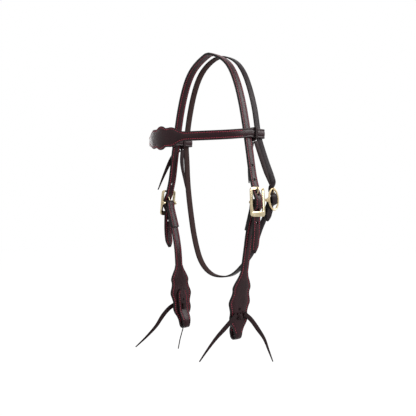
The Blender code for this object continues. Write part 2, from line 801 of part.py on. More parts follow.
def build_cheek(side):
    seat = bar_seat(side)
    hinge = pivot(f"{side}_cheek_pivot", seat.place)
    line, widths, outer, rising = cheek_layout(side)
    places = [seat.at(*p) for p in line]
    name = f"{side}_cheek_strap"
    cheek = strap(name, places, [seat.across] * len(places), widths, cheek_thickness, LATIGO, hinge)
    bm = bmesh.new()
    bmesh.ops.create_cube(bm, size=1)
    reach = bar_diameter + cheek_thickness + cutter_overrun
    wide = tongue_diameter + 2 * tongue_slot_gap
    for vert in bm.verts:
        out = vert.co.x * 2 * reach
        up = -cheek_slot_depth if vert.co.z < 0 else reach
        turned = Matrix.Rotation(-cheek_lean(side), 2) @ Vector((out, up))
        vert.co = seat.at(turned.x, turned.y, vert.co.y * wide)
    cut(cheek, mesh_object(f"{side}_cheek_slot", bm))
    bm = bmesh.new()
    for height, width in ((bit_hole_height, bit_hole_diameter), (bit_tie_height, tie_stem_diameter + 2 * tie_stem_gap)):
        out = (level_place(outer, height) + level_place(rising, height)) / 2
        length = 2 * cheek_thickness + 2 * cutter_overrun
        add_cylinder(bm, seat.at(out, height - cheek_drop), seat.out, width / 2, length, 12)
    cut(cheek, mesh_object(f"{side}_bit_holes", bm))
    build_bit_tie(side, seat, hinge, outer, rising)


def build_bit_tie(side, seat, hinge, outer, rising):
    """A lace through both plies, crossed outside, with a short keeper inside."""
    level = bit_tie_height - cheek_drop
    outside = level_place(outer, bit_tie_height) + cheek_thickness / 2
    inside = level_place(rising, bit_tie_height) - cheek_thickness / 2
    slope = (level_place(outer, bit_tie_height + fine_step) - level_place(outer, bit_tie_height)) / fine_step
    reach = knot_width / 2
    cross = math.atan(tie_cross_share)
    pieces = []
    for layer, turn in enumerate((cross, -cross)):
        run = [(-1.0, 0.0), (-0.62, 0.35), (-0.3, 1.0), (0.3, 1.0), (0.62, 0.35), (1.0, 0.0)]
        points, wides = [], []
        for along_share, rise_share in run:
            across = along_share * reach * math.cos(turn)
            up = along_share * reach * math.sin(turn)
            rise = fit_gap + lace_thickness / 2 + abs(slope) * reach
            rise += rise_share * lace_thickness * (0.25 + 0.8 * layer)
            points.append(seat.at(outside + rise + slope * up, level + up, across))
            wides.append(seat.up * math.cos(turn) - seat.across * math.sin(turn))
        name = f"{side}_bit_tie_knot" if layer == 0 else f"{side}_bit_tie_over"
        finish = LACE_LEATHER if layer == 0 else None
        widths = [lace_width * 0.8] * len(points)
        pieces.append(strap(name, points, wides, widths, lace_thickness, finish, hinge if finish else None, 0))
    knot = pieces[0]
    cut(knot, pieces[1], "UNION")
    bm = bmesh.new()
    low = inside - fit_gap - lace_thickness * 0.6
    high = outside + fit_gap + lace_thickness * 1.1
    middle = seat.at((low + high) / 2, level)
    add_cylinder(bm, middle, seat.out, tie_stem_diameter / 2, high - low, 10)
    stem = mesh_object(f"{side}_bit_tie_stem", bm)
    cut(knot, stem, "UNION")
    points = []
    for share in (-1.0, -0.5, 0.0, 0.5, 1.0):
        up = share * reach * 0.8
        points.append(seat.at(inside - fit_gap - lace_thickness / 2 - abs(slope) * reach + slope * up, level + up))
    keeper = strap(f"{side}_bit_tie_keeper", points, [seat.across] * 5, [lace_width * 0.7] * 5, lace_thickness, None, None, 0)
    cut(knot, keeper, "UNION")


def lace_tail(name, points, parent, edge_on=False):
    """A free lace end, cut to a long point."""
    line = smooth_route(points, long_step)
    along = lengths_along(line)
    shares = along / along[-1]
    start = blunt_tail_shares.get(name, taper_start_share)
    narrow = lace_tip_width + (lace_width - lace_tip_width) * (1 - shares) / (1 - start)
    widths = np.where(shares < start, lace_width, narrow)
    wide = []
    for i in range(len(line)):
        run = Vector(line[min(i + 1, len(line) - 1)]) - Vector(line[max(i - 1, 0)])
        face = Vector((0.656, 0.755, 0)) if edge_on else Vector((1, 0, 0))
        wide.append(run.cross(face))
    return strap(name, line, wide, widths, lace_thickness, LACE_LEATHER, parent, lace_thickness / 5)


def crown_place(drop):
    """Out from the middle of the head to the crown strap's middle at a drop below the poll."""
    line = crown_line()
    half = line[len(line) // 2 :]
    return float(np.interp(drop, -half[:, 2], np.abs(half[:, 0])))


def throat_place(drop):
    return crown_place(drop) + throat_stand_out


def browband_plan():
    """The band's plan from its left loop's inner end to its right one, at the height of its loops."""
    half = browband_width / 2
    top, foot = browband_drop - half - browband_slide, browband_drop + half + browband_slide
    ply = browband_thickness
    room = browband_clearance + ply / 2
    over_crown = crown_place(foot) + crown_thickness / 2 + room
    under_crown = crown_place(top) - crown_thickness / 2 - room
    over_throat = throat_place(foot) + throat_thickness / 2 + room
    under_throat = throat_place(top) - throat_thickness / 2 - room
    rear = throat_setback + throat_width / 2 + browband_loop_room
    bend = (over_throat - under_throat) / 2
    fold_centre = (over_throat + under_throat) / 2
    valley = wrap_centre()
    dip = min(over_crown, over_throat) - ply * 0.25
    bulge = max(under_crown, under_throat) + ply * 0.2
    front = crown_width / 2
    side = [
        (over_crown - ply - fit_gap, -browband_lap),
        (over_crown - ply - fit_gap - ply * 0.15, -browband_lap * 0.82),
        ((over_crown - ply + under_crown) / 2, -front * 1.7),
        (under_crown, -front),
        (under_crown, 0.0),
        (under_crown, front * 1.15),
        (bulge, valley),
        (under_throat, throat_setback - throat_width * 0.53),
        (under_throat, rear - ply / 2),
    ]
    side += arc((fold_centre, rear - ply / 2), bend, math.pi, 0, fold_steps)[1:]
    side += [
        (over_throat, throat_setback - throat_width * 0.53),
        (dip, valley),
        (over_crown, front * 1.15),
        (over_crown, 0.0),
    ]
    return side, over_crown


def wrap_centre():
    """The middle of the valley between the crown strap and the throatlatch."""
    return (crown_width / 2 + throat_setback - throat_width / 2) / 2


def browband_line():
    side, over = browband_plan()
    steps = 64
    arch = [
        (over * math.cos(a), -browband_reach * math.sin(a)) for a in np.linspace(0, math.pi, steps + 1)
    ][1:-1]
    left = [(x, y) for x, y in side]
    right = [(-x, y) for x, y in reversed(side)]
    line = []
    for x, y in left + arch + right:
        forward = max(0.0, -y) / browband_reach
        line.append((x, y, -browband_drop - browband_dip * forward * (2 - forward)))
    return np.array(line)


def build_browband():
    band = pivot("browband_pivot", (0, wrap_centre(), -browband_drop))
    line = browband_line()
    dense = even(line, fine_step / 8)
    along = lengths_along(dense)
    middle = along[-1] / 2

    def longest(i):
        on_front = abs(along[i] - middle) < browband_scallop_length / 2 + fine_step
        return fine_step if on_front else long_step

    stations = by_bend(dense, longest, 17, browband_thickness / 4)
    places = dense[stations]
    widths = []
    for i in stations:
        share = abs(along[i] - middle) / (browband_scallop_length / 2)
        width = browband_scallop_height * outline_width(browband_outline_shares, share)
        widths.append(max(browband_width, width) if share < 1 else browband_width)
    strap("browband", places, [(0, 0, 1)] * len(places), widths, browband_thickness, LATIGO, band)
    for side in ("left", "right"):
        build_browband_tie(side, band)
    for name, points in browband_tail_points.items():
        lace_tail(name, points, band)


def build_browband_tie(side, parent):
    """A lace that wraps the band between the two straps and is knotted under it."""
    sign = 1 if side == "left" else -1
    plan, over = browband_plan()
    valley = wrap_centre()
    dense = even(np.array([(x, y) for x, y in plan]), fit_gap)
    near = dense[np.abs(dense[:, 1] - valley) < wrap_width / 2 + fit_gap]
    middle = (near[:, 0].min() + near[:, 0].max()) / 2
    room = browband_thickness * 0.53 + fit_gap + lace_thickness / 2
    inner = near[near[:, 0] < middle, 0].min() - room
    outer = near[near[:, 0] > middle, 0].max() + room
    high = browband_width / 2 + fit_gap + lace_thickness / 2
    middle = (inner + outer) / 2
    corner = lace_thickness
    path = [(middle - corner, -high), (inner + corner, -high)]
    path += arc((inner + corner, -high + corner), corner, math.radians(-90), math.radians(-180), 3)[1:]
    path += arc((inner + corner, high - corner), corner, math.radians(180), math.radians(90), 3)
    path += arc((outer - corner, high - corner), corner, math.radians(90), math.radians(0), 3)
    path += arc((outer - corner, -high + corner), corner, math.radians(0), math.radians(-90), 3)
    path += [(middle + corner, -high)]
    points = [(sign * x, valley, z - browband_drop) for x, z in path]
    name = f"{side}_browband_tie_knot"
    widths = [wrap_width] * len(points)
    wrap = strap(name, points, [(0, 1, 0)] * len(points), widths, lace_thickness, LACE_LEATHER, parent, 0)
    top = -browband_drop - high + lace_thickness / 2 - fit_gap
    bm = bmesh.new()
    bmesh.ops.create_uvsphere(bm, u_segments=12, v_segments=8, radius=1)
    size = Vector(((outer - inner) / 2 * 0.9, wrap_width * 0.64, knot_height / 2))
    for vert in bm.verts:
        vert.co = Vector(vert.co[k] * size[k] for k in range(3))
        vert.co += Vector((sign * middle, valley, top - knot_height / 2 + lace_thickness * 0.45))
    cut(wrap, mesh_object(f"{side}_browband_tie_bulb", bm), "UNION")


def throat_seat():
    place = (throat_buckle_spread, throat_buckle_setback, -throat_buckle_drop)
    return Seat(place, (1, 0, 0), (0, -throat_frame_tilt_share, 1))


def throat_offsets():
    ply = throat_thickness
    at_bar = throat_bar_diameter / 2 + fit_gap + ply + fit_gap + ply / 2
    at_frame = throat_frame_standoff - throat_wire_diameter / 2 - fit_gap - ply / 2
    return at_bar, at_frame


def near_point(shares):
    out, back, down = shares
    return Vector((out * throat_buckle_spread, back * throat_buckle_setback, -down * throat_buckle_drop))


def throat_point(shares):
    out, back, down = shares
    return Vector((out * throat_spread, back * throat_setback, throat_thickness / 2 - down * throat_drop))


def forward(place, depth):
    """The strap under the throat buckle turns forward to follow the jaw."""
    return place - Vector((0, throat_forward_share * max(0.0, depth - throat_bar_diameter), 0))


def throat_layout():
    """Lines of the billet with the far leg, and of the folded near end, as one strap."""
    seat = throat_seat()
    at_bar, at_frame = throat_offsets()
    ply = throat_thickness
    high = throat_frame_height / 2
    clear = high * 0.56  # where the ring's sides begin to cross the strap
    billet = [
        forward(seat.at(at_frame, -throat_tail_length), throat_tail_length),
        forward(seat.at(at_frame, -high), high),
        forward(seat.at(at_frame, -clear), clear),
        seat.at((at_bar + at_frame) / 2, -clear / 2),
        seat.at(at_bar, 0),
        seat.at((at_bar + at_frame) / 2, clear / 2),
        seat.at(at_frame, clear),
        seat.at(at_frame, high),
    ]
    loop_out = throat_place(browband_drop)
    near = [near_point(s) for s in reversed(throat_near_shares)]
    near_loop = [
        Vector((throat_place(browband_drop + browband_width / 2), throat_setback, -browband_drop - browband_width / 2)),
        Vector((loop_out, throat_setback, -browband_drop)),
        Vector((throat_place(browband_drop - browband_width / 2), throat_setback, -browband_drop + browband_width / 2)),
    ]
    far_loop = [Vector((-p.x, p.y, p.z)) for p in reversed(near_loop)]
    arch = [throat_point(s) for s in reversed(throat_arch_shares)]
    far = [throat_point(s) for s in throat_far_shares]
    apart = (ply + fit_gap) / 2
    around = throat_bar_diameter / 2 + fit_gap + ply / 2
    throat_lean = math.atan(throat_lean_share)
    down = Vector((-math.sin(throat_lean), -math.cos(throat_lean)))
    away = Vector((math.cos(throat_lean), -math.sin(throat_lean)))
    main = [
        forward(seat.at(*(down * s + away * apart)), s)
        for s in (throat_stitched_length, throat_stitched_length / 2, throat_close_length)
    ]
    route = billet + near + near_loop + arch + far_loop + far + main
    line = smooth_route([tuple(p) for p in route], dense_step)
    line = settle(line, np.linalg.norm(line - np.array(seat.place), axis=1) > throat_frame_height * 0.8)
    line = list(line[by_bend(line, long_step * 1.2, 7, long_step * 0.25)])
    fold = arc((0, 0), around, -throat_lean - math.radians(9), math.radians(189) - throat_lean, fold_steps)
    line += [np.array(seat.at(*p)) for p in fold]
    for depth in np.linspace(throat_close_length, throat_stitched_length, 4):
        line.append(np.array(forward(seat.at(*(down * depth - away * apart)), depth)))
    return np.array(line)


def build_throatlatch():
    hinge = pivot("throatlatch_pivot", (0, throat_setback, -browband_drop))
    seat = throat_seat()
    line = throat_layout()
    count = len(line)
    wide = []
    for i in range(count):
        run = Vector(line[min(i + 1, count - 1)]) - Vector(line[max(i - 1, 0)])
        place = Vector(line[i])
        away = ((place - seat.place).length - throat_frame_height * 0.6) / throat_frame_height
        back = seat.across.lerp(Vector((0, 1, 0)), min(1.0, max(0.0, away)))
        back -= run.normalized() * back.dot(run.normalized())
        if wide and back.dot(wide[-1]) < 0:
            back = -back
        wide.append(back)
    widths = np.full(count, throat_width)
    along = lengths_along(line)
    tip = along < throat_width
    widths[tip] = throat_tip_width + (throat_width - throat_tip_width) * np.sin(along[tip] / throat_width * math.pi / 2)
    throat = strap("throatlatch_strap", line, wide, widths, throat_thickness, STRAP_LEATHER, hinge)
    bm = bmesh.new()
    bmesh.ops.create_cube(bm, size=1)
    reach = throat_bar_diameter + throat_thickness + cutter_overrun / 4
    gap = throat_bar_diameter / 2 + fit_gap + throat_thickness + fit_gap / 2
    room = throat_tongue_diameter + 2 * tongue_slot_gap
    for vert in bm.verts:
        out = gap if vert.co.x > 0 else -reach
        up = -throat_slot_depth if vert.co.z < 0 else gap
        vert.co = seat.at(out, up, vert.co.y * room)
    cut(throat, mesh_object("throatlatch_slot", bm))
    wire = throat_tongue_line(seat)
    dense = [wire[i].lerp(wire[i + 1], t) for i in range(12, len(wire) - 1) for t in np.linspace(0, 1, 20)]
    start = [Vector(p) for p in even(line, fine_step / 20)[: int(throat_drop / 2 / (fine_step / 20))]]
    near = [min((p - q).length for q in dense) for p in start]
    i = int(np.argmin(near))
    bm = bmesh.new()
    run = (start[i + 1] - start[i - 1]).normalized()
    hole = throat_tongue_diameter / 2 + tongue_slot_gap
    length = throat_thickness + cutter_overrun
    add_cylinder(bm, start[i], run.cross(seat.across), hole, length, 12, throat_hole_length / 2 - hole, run)
    cut(throat, mesh_object("throatlatch_hole", bm))
    build_throat_buckle(seat, hinge, wire)


def throat_tongue_line(seat):
    return tongue_line(
        seat,
        throat_bar_diameter,
        throat_tongue_diameter,
        throat_frame_standoff,
        throat_wire_diameter,
        throat_frame_height / 2,
        throat_wire_diameter,
    )


def build_throat_buckle(seat, hinge, wire):
    """An oval wire buckle whose centre bar stands behind it in two ears."""
    half_wide = (throat_frame_width - throat_wire_diameter) / 2
    half_high = (throat_frame_height - throat_wire_diameter) / 2
    ring = []
    for a in np.linspace(0, 2 * math.pi, 33)[:-1]:
        ring.append(seat.at(throat_frame_standoff, half_high * math.sin(a), half_wide * math.cos(a)))
    frame = tube("throat_buckle_frame", ring, throat_wire_diameter / 2, BRASS, hinge, closed=True, detail=2)
    ears = lug_body(
        "throat_buckle_ears",
        seat,
        throat_bar_diameter,
        lug_wall * 0.8,
        throat_frame_standoff + edge_round,
        half_wide - throat_wire_diameter * 0.45,
        half_wide + throat_wire_diameter * 0.45,
    )
    cut(frame, ears, "UNION")
    bm = bmesh.new()
    length = throat_frame_width + 2 * cutter_overrun
    add_cylinder(bm, seat.place, seat.across, throat_bar_diameter / 2 + fit_gap, length, 16)
    cut(frame, mesh_object("throat_buckle_bore", bm))
    half = half_wide + throat_wire_diameter * 0.6
    build_buckle_bar("throat_buckle_bar", seat, throat_bar_diameter, half, BRASS, hinge)
    tongue_pivot = pivot("throat_tongue_pivot", seat.place)
    tube("throat_buckle_tongue", wire, throat_tongue_diameter / 2, BRASS, tongue_pivot)


build_crown()
for side in ("left", "right"):
    build_cheek_buckle(side)
    build_cheek(side)
build_throatlatch()
build_browband()
for name, points in bit_tail_points.items():
    side = name.split("_")[0]
    lace_tail(name, points, bpy.data.objects[f"{side}_cheek_pivot"], name in edge_on_tails)
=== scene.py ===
"""The looks of a western headstall: waxed burgundy leather, wine thread, brass and latigo lace.

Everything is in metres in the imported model's frame: +X is the horse's left, -Y forward, +Z up,
and the origin lies under the crown strap where it rests on the poll.
"""

import math

import bmesh
import bpy
import numpy as np
from mathutils import Matrix, Vector


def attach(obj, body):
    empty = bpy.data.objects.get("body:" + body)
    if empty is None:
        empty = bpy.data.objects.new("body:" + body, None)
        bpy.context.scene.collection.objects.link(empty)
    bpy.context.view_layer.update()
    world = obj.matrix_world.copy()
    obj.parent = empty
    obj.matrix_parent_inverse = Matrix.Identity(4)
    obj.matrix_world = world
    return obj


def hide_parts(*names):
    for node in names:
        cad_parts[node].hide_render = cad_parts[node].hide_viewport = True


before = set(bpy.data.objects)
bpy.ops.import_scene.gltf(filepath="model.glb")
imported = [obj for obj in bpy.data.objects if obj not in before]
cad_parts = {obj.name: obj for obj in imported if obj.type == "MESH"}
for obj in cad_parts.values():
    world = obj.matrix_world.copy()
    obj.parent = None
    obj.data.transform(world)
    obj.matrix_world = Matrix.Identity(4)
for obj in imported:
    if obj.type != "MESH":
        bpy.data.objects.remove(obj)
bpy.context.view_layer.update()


# Camera: at the photograph's angle, level with the middle of the headstall, slightly wide of its
# axis, so the frame is shifted by less than two pixels.
view_azimuth = math.radians(49)
view_distance = 1.136
view_height = -0.2752
toward = Vector((math.sin(view_azimuth), -math.cos(view_azimuth), 0))
camera_data = bpy.data.cameras.new("camera")
camera_data.lens = 54.4
camera_data.sensor_width = 36
camera_data.shift_x = -0.0038
camera = bpy.data.objects.new("camera", camera_data)
camera.location = toward * view_distance + Vector((0, 0, view_height))
camera.rotation_euler = (-toward).to_track_quat("-Z", "Y").to_euler()
bpy.context.scene.collection.objects.link(camera)
bpy.context.scene.camera = camera
bpy.context.scene.view_settings.view_transform = "Standard"


# Lace tails: the free ends of the four ties, strings of dark latigo leather cut flat with a knife and skived
# to a long point. Each runs from its knot through its listed places.
lace_width = 0.0085
lace_thickness = 0.0018
lace_tip = 0.0018
seam_inset = 0.0027
tails = {
    "left_browband_tie_rear": (
        (0.1018, 0.015, -0.1613), (0.1042, 0.0187, -0.1745), (0.1074, 0.0278, -0.201),
        (0.1102, 0.0355, -0.222), (0.1122, 0.0415, -0.2385),
    ),
    "left_browband_tie_front": (
        (0.0962, 0.0126, -0.1622), (0.095, 0.0095, -0.18), (0.096, 0.006, -0.198),
        (0.098, 0.003, -0.215), (0.1005, 0.001, -0.233),
    ),
    "right_browband_tie_front": (
        (-0.1032, 0.0122, -0.1616), (-0.107, 0.002, -0.172), (-0.11, -0.007, -0.188),
        (-0.1165, -0.0165, -0.214), (-0.124, -0.024, -0.24),
    ),
    "right_browband_tie_rear": (
        (-0.0955, 0.0136, -0.1622), (-0.095, 0.0115, -0.18), (-0.0945, 0.0125, -0.198),
        (-0.094, 0.016, -0.216), (-0.0935, 0.02, -0.236),
    ),
    "left_bit_tie_front": (
        (0.0806, -0.0099, -0.4562), (0.081, -0.021, -0.465), (0.08, -0.036, -0.477),
        (0.077, -0.052, -0.491), (0.074, -0.068, -0.508), (0.07, -0.083, -0.527),
    ),
    "left_bit_tie_rear": (
        (0.0806, 0.0092, -0.4572), (0.081, 0.025, -0.469), (0.082, 0.0415, -0.488),
        (0.0815, 0.0575, -0.507), (0.08, 0.0705, -0.53), (0.079, 0.082, -0.551),
    ),
    "right_bit_tie_front": (
        (-0.0854, -0.0091, -0.456), (-0.088, -0.024, -0.464), (-0.09, -0.038, -0.477),
        (-0.092, -0.052, -0.495), (-0.097, -0.07, -0.513), (-0.105, -0.089, -0.531),
    ),
    "right_bit_tie_rear": (
        (-0.0862, 0.0098, -0.458), (-0.088, 0.017, -0.469), (-0.0905, 0.017, -0.488),
        (-0.0935, 0.013, -0.508), (-0.098, 0.0095, -0.529), (-0.103, 0.009, -0.548),
    ),
}


def link(obj):
    bpy.context.scene.collection.objects.link(obj)
    return obj


def shade(mesh, sharp=50):
    for face in mesh.polygons:
        face.use_smooth = True
    mesh.set_sharp_from_angle(angle=math.radians(sharp))


def mesh_piece(name, bm, sharp=50):
    mesh = bpy.data.meshes.new(name)
    bm.to_mesh(mesh)
    bm.free()
    shade(mesh, sharp)
    return link(bpy.data.objects.new(name, mesh))


def closed_piece(name, bm, sharp=50):
    """A piece of a closed bmesh, with its faces turned outwards."""
    bmesh.ops.recalc_face_normals(bm, faces=bm.faces)
    return mesh_piece(name, bm, sharp)


def rows(points):
    return np.array([tuple(p) for p in points], float)


def smooth(points, step):
    """Even places on a smooth curve through the points."""
    points = rows(points)
    padded = np.vstack([2 * points[0] - points[1], points, 2 * points[-1] - points[-2]])
    dense = []
    for i in range(1, len(padded) - 2):
        before, start, end, after = padded[i - 1 : i + 3]
        for t in np.linspace(0, 1, 24, endpoint=False):
            dense.append(
                start
                + (end - before) * t / 2
                + (2 * before - 5 * start + 4 * end - after) * t * t / 2
                + (3 * start - before - 3 * end + after) * t * t * t / 2
            )
    dense.append(padded[-2])
    return even(np.array(dense), step)


def lengths_along(line):
    return np.concatenate([[0], np.cumsum(np.linalg.norm(np.diff(line, axis=0), axis=1))])


def even(line, step):
    along = lengths_along(line)
    places = np.linspace(0, along[-1], max(2, int(round(along[-1] / step)) + 1))
    return np.stack([np.interp(places, along, line[:, k]) for k in range(line.shape[1])], axis=1)


def unit(ways):
    return ways / np.linalg.norm(ways, axis=1)[:, None]


def axes_of(line, across):
    """Along, across and out of the strap at each place; across is one direction or one for each."""
    along = unit(np.gradient(line, axis=0))
    across = np.broadcast_to(np.array([*across], float), line.shape)
    across = unit(across - along * (across * along).sum(1)[:, None])
    return along, across, np.cross(across, along)


def strap_profile(half, thickness, inset, doubled):
    """Places round a strap's section: width share, height, and how much of the dark edge colour it takes,
    all of it on the cut edges and part of it in the sunk groove by each edge.
    """
    corner = min(0.0008, thickness * 0.3)
    seam = 0.0003
    inner_swell = 0.0001
    inset = min(inset, half * 0.4)
    top = thickness / 2
    right = [(half - corner, top, 0.25), (half - corner * 0.3, top - corner * 0.3, 0.8)]
    right.append((half, top - corner, 1.0))
    if doubled:
        right += [(half, seam, 1.0), (half - seam, 0.0, 1.0), (half, -seam, 1.0)]
        swell = 0.00035
        row = half - inset
        # The sewing groove is sunk and takes part of the dark edge colour.
        sewn = [(row * 0.5, top + swell * 0.75, 0.0), (row - 0.0009, top + 0.00002, 0.0)]
        sewn += [(row, top - 0.0004, 0.4), (row + 0.0007, top, 0.05)]
    else:
        right += [(half, 0.0, 1.0)]
        swell = inner_swell
        row = half - min(0.0012, half * 0.3)
        # The groove by the edge is sunk and takes part of the dark edge colour.
        sewn = [(row - 0.0006, top + swell, 0.0), (row, top - 0.00012, 0.3)]
    right += [(half, corner - top, 1.0), (half - corner * 0.3, corner * 0.3 - top, 0.8)]
    right += [(half - corner, -top, 0.25)]
    inmost, outmost = half * 0.1, half - corner * 1.3
    step = (outmost - inmost) / 5
    kept = []
    for k, (x, y, edge) in enumerate(sewn):
        left = len(sewn) - 1 - k
        kept.append((min(max(x, inmost + step * k), outmost - step * left / 2), y, edge))
    side = kept + right + [(x, -min(y, top + inner_swell), edge) for x, y, edge in reversed(kept)]
    ring = [(0.0, top + swell, 0.0)] + side + [(0.0, -top - inner_swell, 0.0)]
    return ring + [(-x, y, edge) for x, y, edge in reversed(side)]


def sweep(name, line, across, halves, thickness, insets=seam_inset, doubled=True):
    """A leather strap along a line, with sewing grooves, cut edges and a seam between its plies."""
    wide, out = axes_of(line, across)[1:]
    halves = np.broadcast_to(halves, len(line))
    insets = np.broadcast_to(insets, len(line))
    rings = [strap_profile(half, thickness, inset, doubled) for half, inset in zip(halves, insets)]
    around = len(rings[0])
    bm = bmesh.new()
    edge_layer = bm.verts.layers.float.new("edge")
    flesh_layer = bm.verts.layers.float.new("flesh")
    bmesh.ops.create_grid(bm, x_segments=around, y_segments=len(line) - 1, size=1)
    for vert in bm.verts:
        i = round((vert.co.y + 1) / 2 * (len(line) - 1))
        x, y, edge = rings[i][round((vert.co.x + 1) / 2 * around) % around]
        vert.co = line[i] + wide[i] * x + out[i] * y
        vert[edge_layer] = edge
        vert[flesh_layer] = 1.0 if y < 0 else 0.0
    bmesh.ops.remove_doubles(bm, verts=bm.verts, dist=0.0000005)
    open_ends = [edge for edge in bm.edges if edge.is_boundary]
    bmesh.ops.holes_fill(bm, edges=open_ends, sides=0)
    return closed_piece(name, bm)


class Nodes:
    """The nodes of a material or the world, with short calls to add and link them."""

    def __init__(self, owner):
        owner.use_nodes = True
        self.owner = owner
        self.tree = owner.node_tree
        self.shader = self.tree.nodes.get("Principled BSDF")

    def add(self, kind, **values):
        """A node with its inputs, named with _ for spaces, and its other settings filled in."""
        node = self.tree.nodes.new("ShaderNode" + kind)
        for name, value in values.items():
            socket = name.replace("_", " ")
            if socket in node.inputs:
                node.inputs[socket].default_value = value
            else:
                setattr(node, name, value)
        return node

    def link(self, out, into):
        self.tree.links.new(out, into)

    def texture(self, kind, **values):
        node = self.add(kind, **values)
        self.link(self.add("TexCoord").outputs["Object"], node.inputs["Vector"])
        return node

    def noise(self, scale, detail, roughness=0.6):
        noise = self.texture("TexNoise", Scale=scale, Detail=detail, Roughness=roughness)
        return noise.outputs["Fac"]

    def cells(self, scale):
        walls = self.texture("TexVoronoi", feature="DISTANCE_TO_EDGE", Scale=scale)
        return walls.outputs["Distance"]

    def ramp(self, source, low, high, start=0.0, end=1.0):
        node = self.add("MapRange", From_Min=low, From_Max=high, To_Min=start, To_Max=end)
        self.link(source, node.inputs["Value"])
        return node.outputs["Result"]

    def mix(self, share, first, second):
        node = self.add("Mix", data_type="RGBA")
        self.link(share, node.inputs[0])
        for socket, value in ((node.inputs[6], first), (node.inputs[7], second)):
            if isinstance(value, tuple):
                socket.default_value = (*value, 1)
            else:
                self.link(value, socket)
        return node.outputs[2]

    def sum(self, first, second, share=1.0):
        node = self.add("Math", operation="MULTIPLY_ADD")
        self.link(second, node.inputs[0])
        node.inputs[1].default_value = share
        self.link(first, node.inputs[2])
        return node.outputs[0]

    def attribute(self, name):
        return self.add("Attribute", attribute_name=name).outputs["Fac"]

    def finish(self, colour, roughness, height, distance):
        """Gives the shader its colour, its roughness and its relief."""
        self.link(colour, self.shader.inputs["Base Color"])
        self.link(roughness, self.shader.inputs["Roughness"])
        bump = self.add("Bump", Strength=1.0, Distance=distance)
        self.link(height, bump.inputs["Height"])
        self.link(bump.outputs["Normal"], self.shader.inputs["Normal"])
        return self.owner


def tint(colour, share):
    return tuple(min(1, c * share) for c in colour)


def leather(name, dark, light, edge, shine, rough, flesh=None):
    """Waxed leather with fine grain, mottled dye, burnished edges and, on one ply, a bare back."""
    n = Nodes(bpy.data.materials.new(name))
    body = n.mix(n.ramp(n.noise(38, 5), 0.3, 0.72), dark, light)
    pores = n.ramp(n.cells(950), 0.0, 0.35)
    body = n.mix(n.ramp(pores, 0.0, 1.0, 0.35, 0.0), body, tint(dark, 0.45))
    roughness = n.ramp(n.noise(120, 4), 0.3, 0.7, *rough)
    if flesh:
        fibre = n.mix(n.noise(420, 6, 0.7), tint(flesh, 0.55), tint(flesh, 1.35))
        body = n.mix(n.attribute("flesh"), body, fibre)
        roughness = n.sum(roughness, n.attribute("flesh"), 0.3)
    # The dark edge colour: all of it on the cut edges, part of it in the sunk grooves by the edges.
    body = n.mix(n.attribute("edge"), body, edge)
    n.shader.inputs["Specular IOR Level"].default_value = shine
    height = n.sum(n.sum(pores, n.noise(1600, 3), 0.6), n.noise(140, 5), 1.6)
    return n.finish(body, roughness, height, 0.00006)


latigo_dark, latigo_light = (0.013, 0.005, 0.006), (0.028, 0.011, 0.013)
latigo = leather("latigo_lace", latigo_dark, latigo_light, (0.007, 0.005, 0.005), 0.1, (0.42, 0.58))


def finish_piece(obj, material, body, slot, *nodes):
    """Gives a piece its material and its body, and hides the nodes it stands for; slot is not used."""
    obj.data.materials.clear()
    obj.data.materials.append(material)
    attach(obj, body)
    if nodes:
        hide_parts(*nodes)


for name, points in tails.items():
    line = smooth(points, 0.0035)
    run = lengths_along(line)
    share = run / run[-1]
    start = 0.7 if name == "left_browband_tie_rear" else 0.35
    point = lace_tip + (lace_width - lace_tip) * (1 - share) / (1 - start)
    halves = np.where(share < start, lace_width, point) / 2
    facing = np.array((0.656, 0.755, 0.0) if name == "right_bit_tie_rear" else (1.0, 0.0, 0.0))
    across = np.cross(np.gradient(line, axis=0), facing)
    tail = sweep(f"{name}_lace", line, across, halves, lace_thickness, doubled=False)
    body = "forehead_band" if "browband" in name else name.split("_")[0] + "_cheek"
    finish_piece(tail, latigo, body, "lace_leather", f"{name}_tail")


# Crown strap: two plies of burgundy leather sewn along both edges, from the left billet over the
# poll to the right one. Each billet is punched with five holes and runs through its cheek buckle,
# so the buckle's own measures and axes come first here.
strap_width = 0.0159
crown_thickness = 0.004
cheek_thickness = 0.0034
crown_tail = 0.085
crown_tip = 0.0155
crown_tip_width = 0.0042
crown_seam_start = 0.006
hole_pitch = 0.0254
hole_radius = 0.0025
hole_slot = 0.0045
punch_length = 0.016
crown_half = (
    (0.004, 0.002), (0.008, 0.0012), (0.0123, -0.0004), (0.0183, -0.0029), (0.0262, -0.0062),
    (0.036, -0.0115), (0.0451, -0.0176), (0.0518, -0.0238), (0.0569, -0.0302), (0.0615, -0.0368),
    (0.0686, -0.0504), (0.0746, -0.0644), (0.0797, -0.0788), (0.0841, -0.0934), (0.088, -0.1081),
    (0.0934, -0.1323), (0.0967, -0.148), (0.1015, -0.1738), (0.1041, -0.1877), (0.107, -0.2047),
    (0.1108, -0.2237),
)
crown_tail_leans = {1: -0.0085, -1: -0.014}
gap = 0.0003
sides = {"left": 1, "right": -1}
bar_spreads = {1: 0.1165, -1: 0.1195}
bar_drop = 0.2655
bar_radius = 0.0017
frame_slopes = {1: 0.05, -1: 0.14}
frame_width = 0.032
frame_height = 0.049
frame_thickness = 0.003
frame_side_bar = 0.0043
frame_top_bar = 0.0034
frame_bottom_bar = 0.0086
frame_corner = 0.0055
frame_standoff = 0.0048
tongue_radius = 0.0011
hook_places = 26


class Seat:
    """A buckle's place on its centre bar, with its directions out, up and across."""

    def __init__(self, place, out, up):
        self.place = Vector(place)
        self.out = Vector(out).normalized()
        self.up = Vector(up).normalized()
        self.across = self.up.cross(self.out).normalized()

    def at(self, out, up, across=0.0):
        return self.place + self.out * out + self.up * up + self.across * across


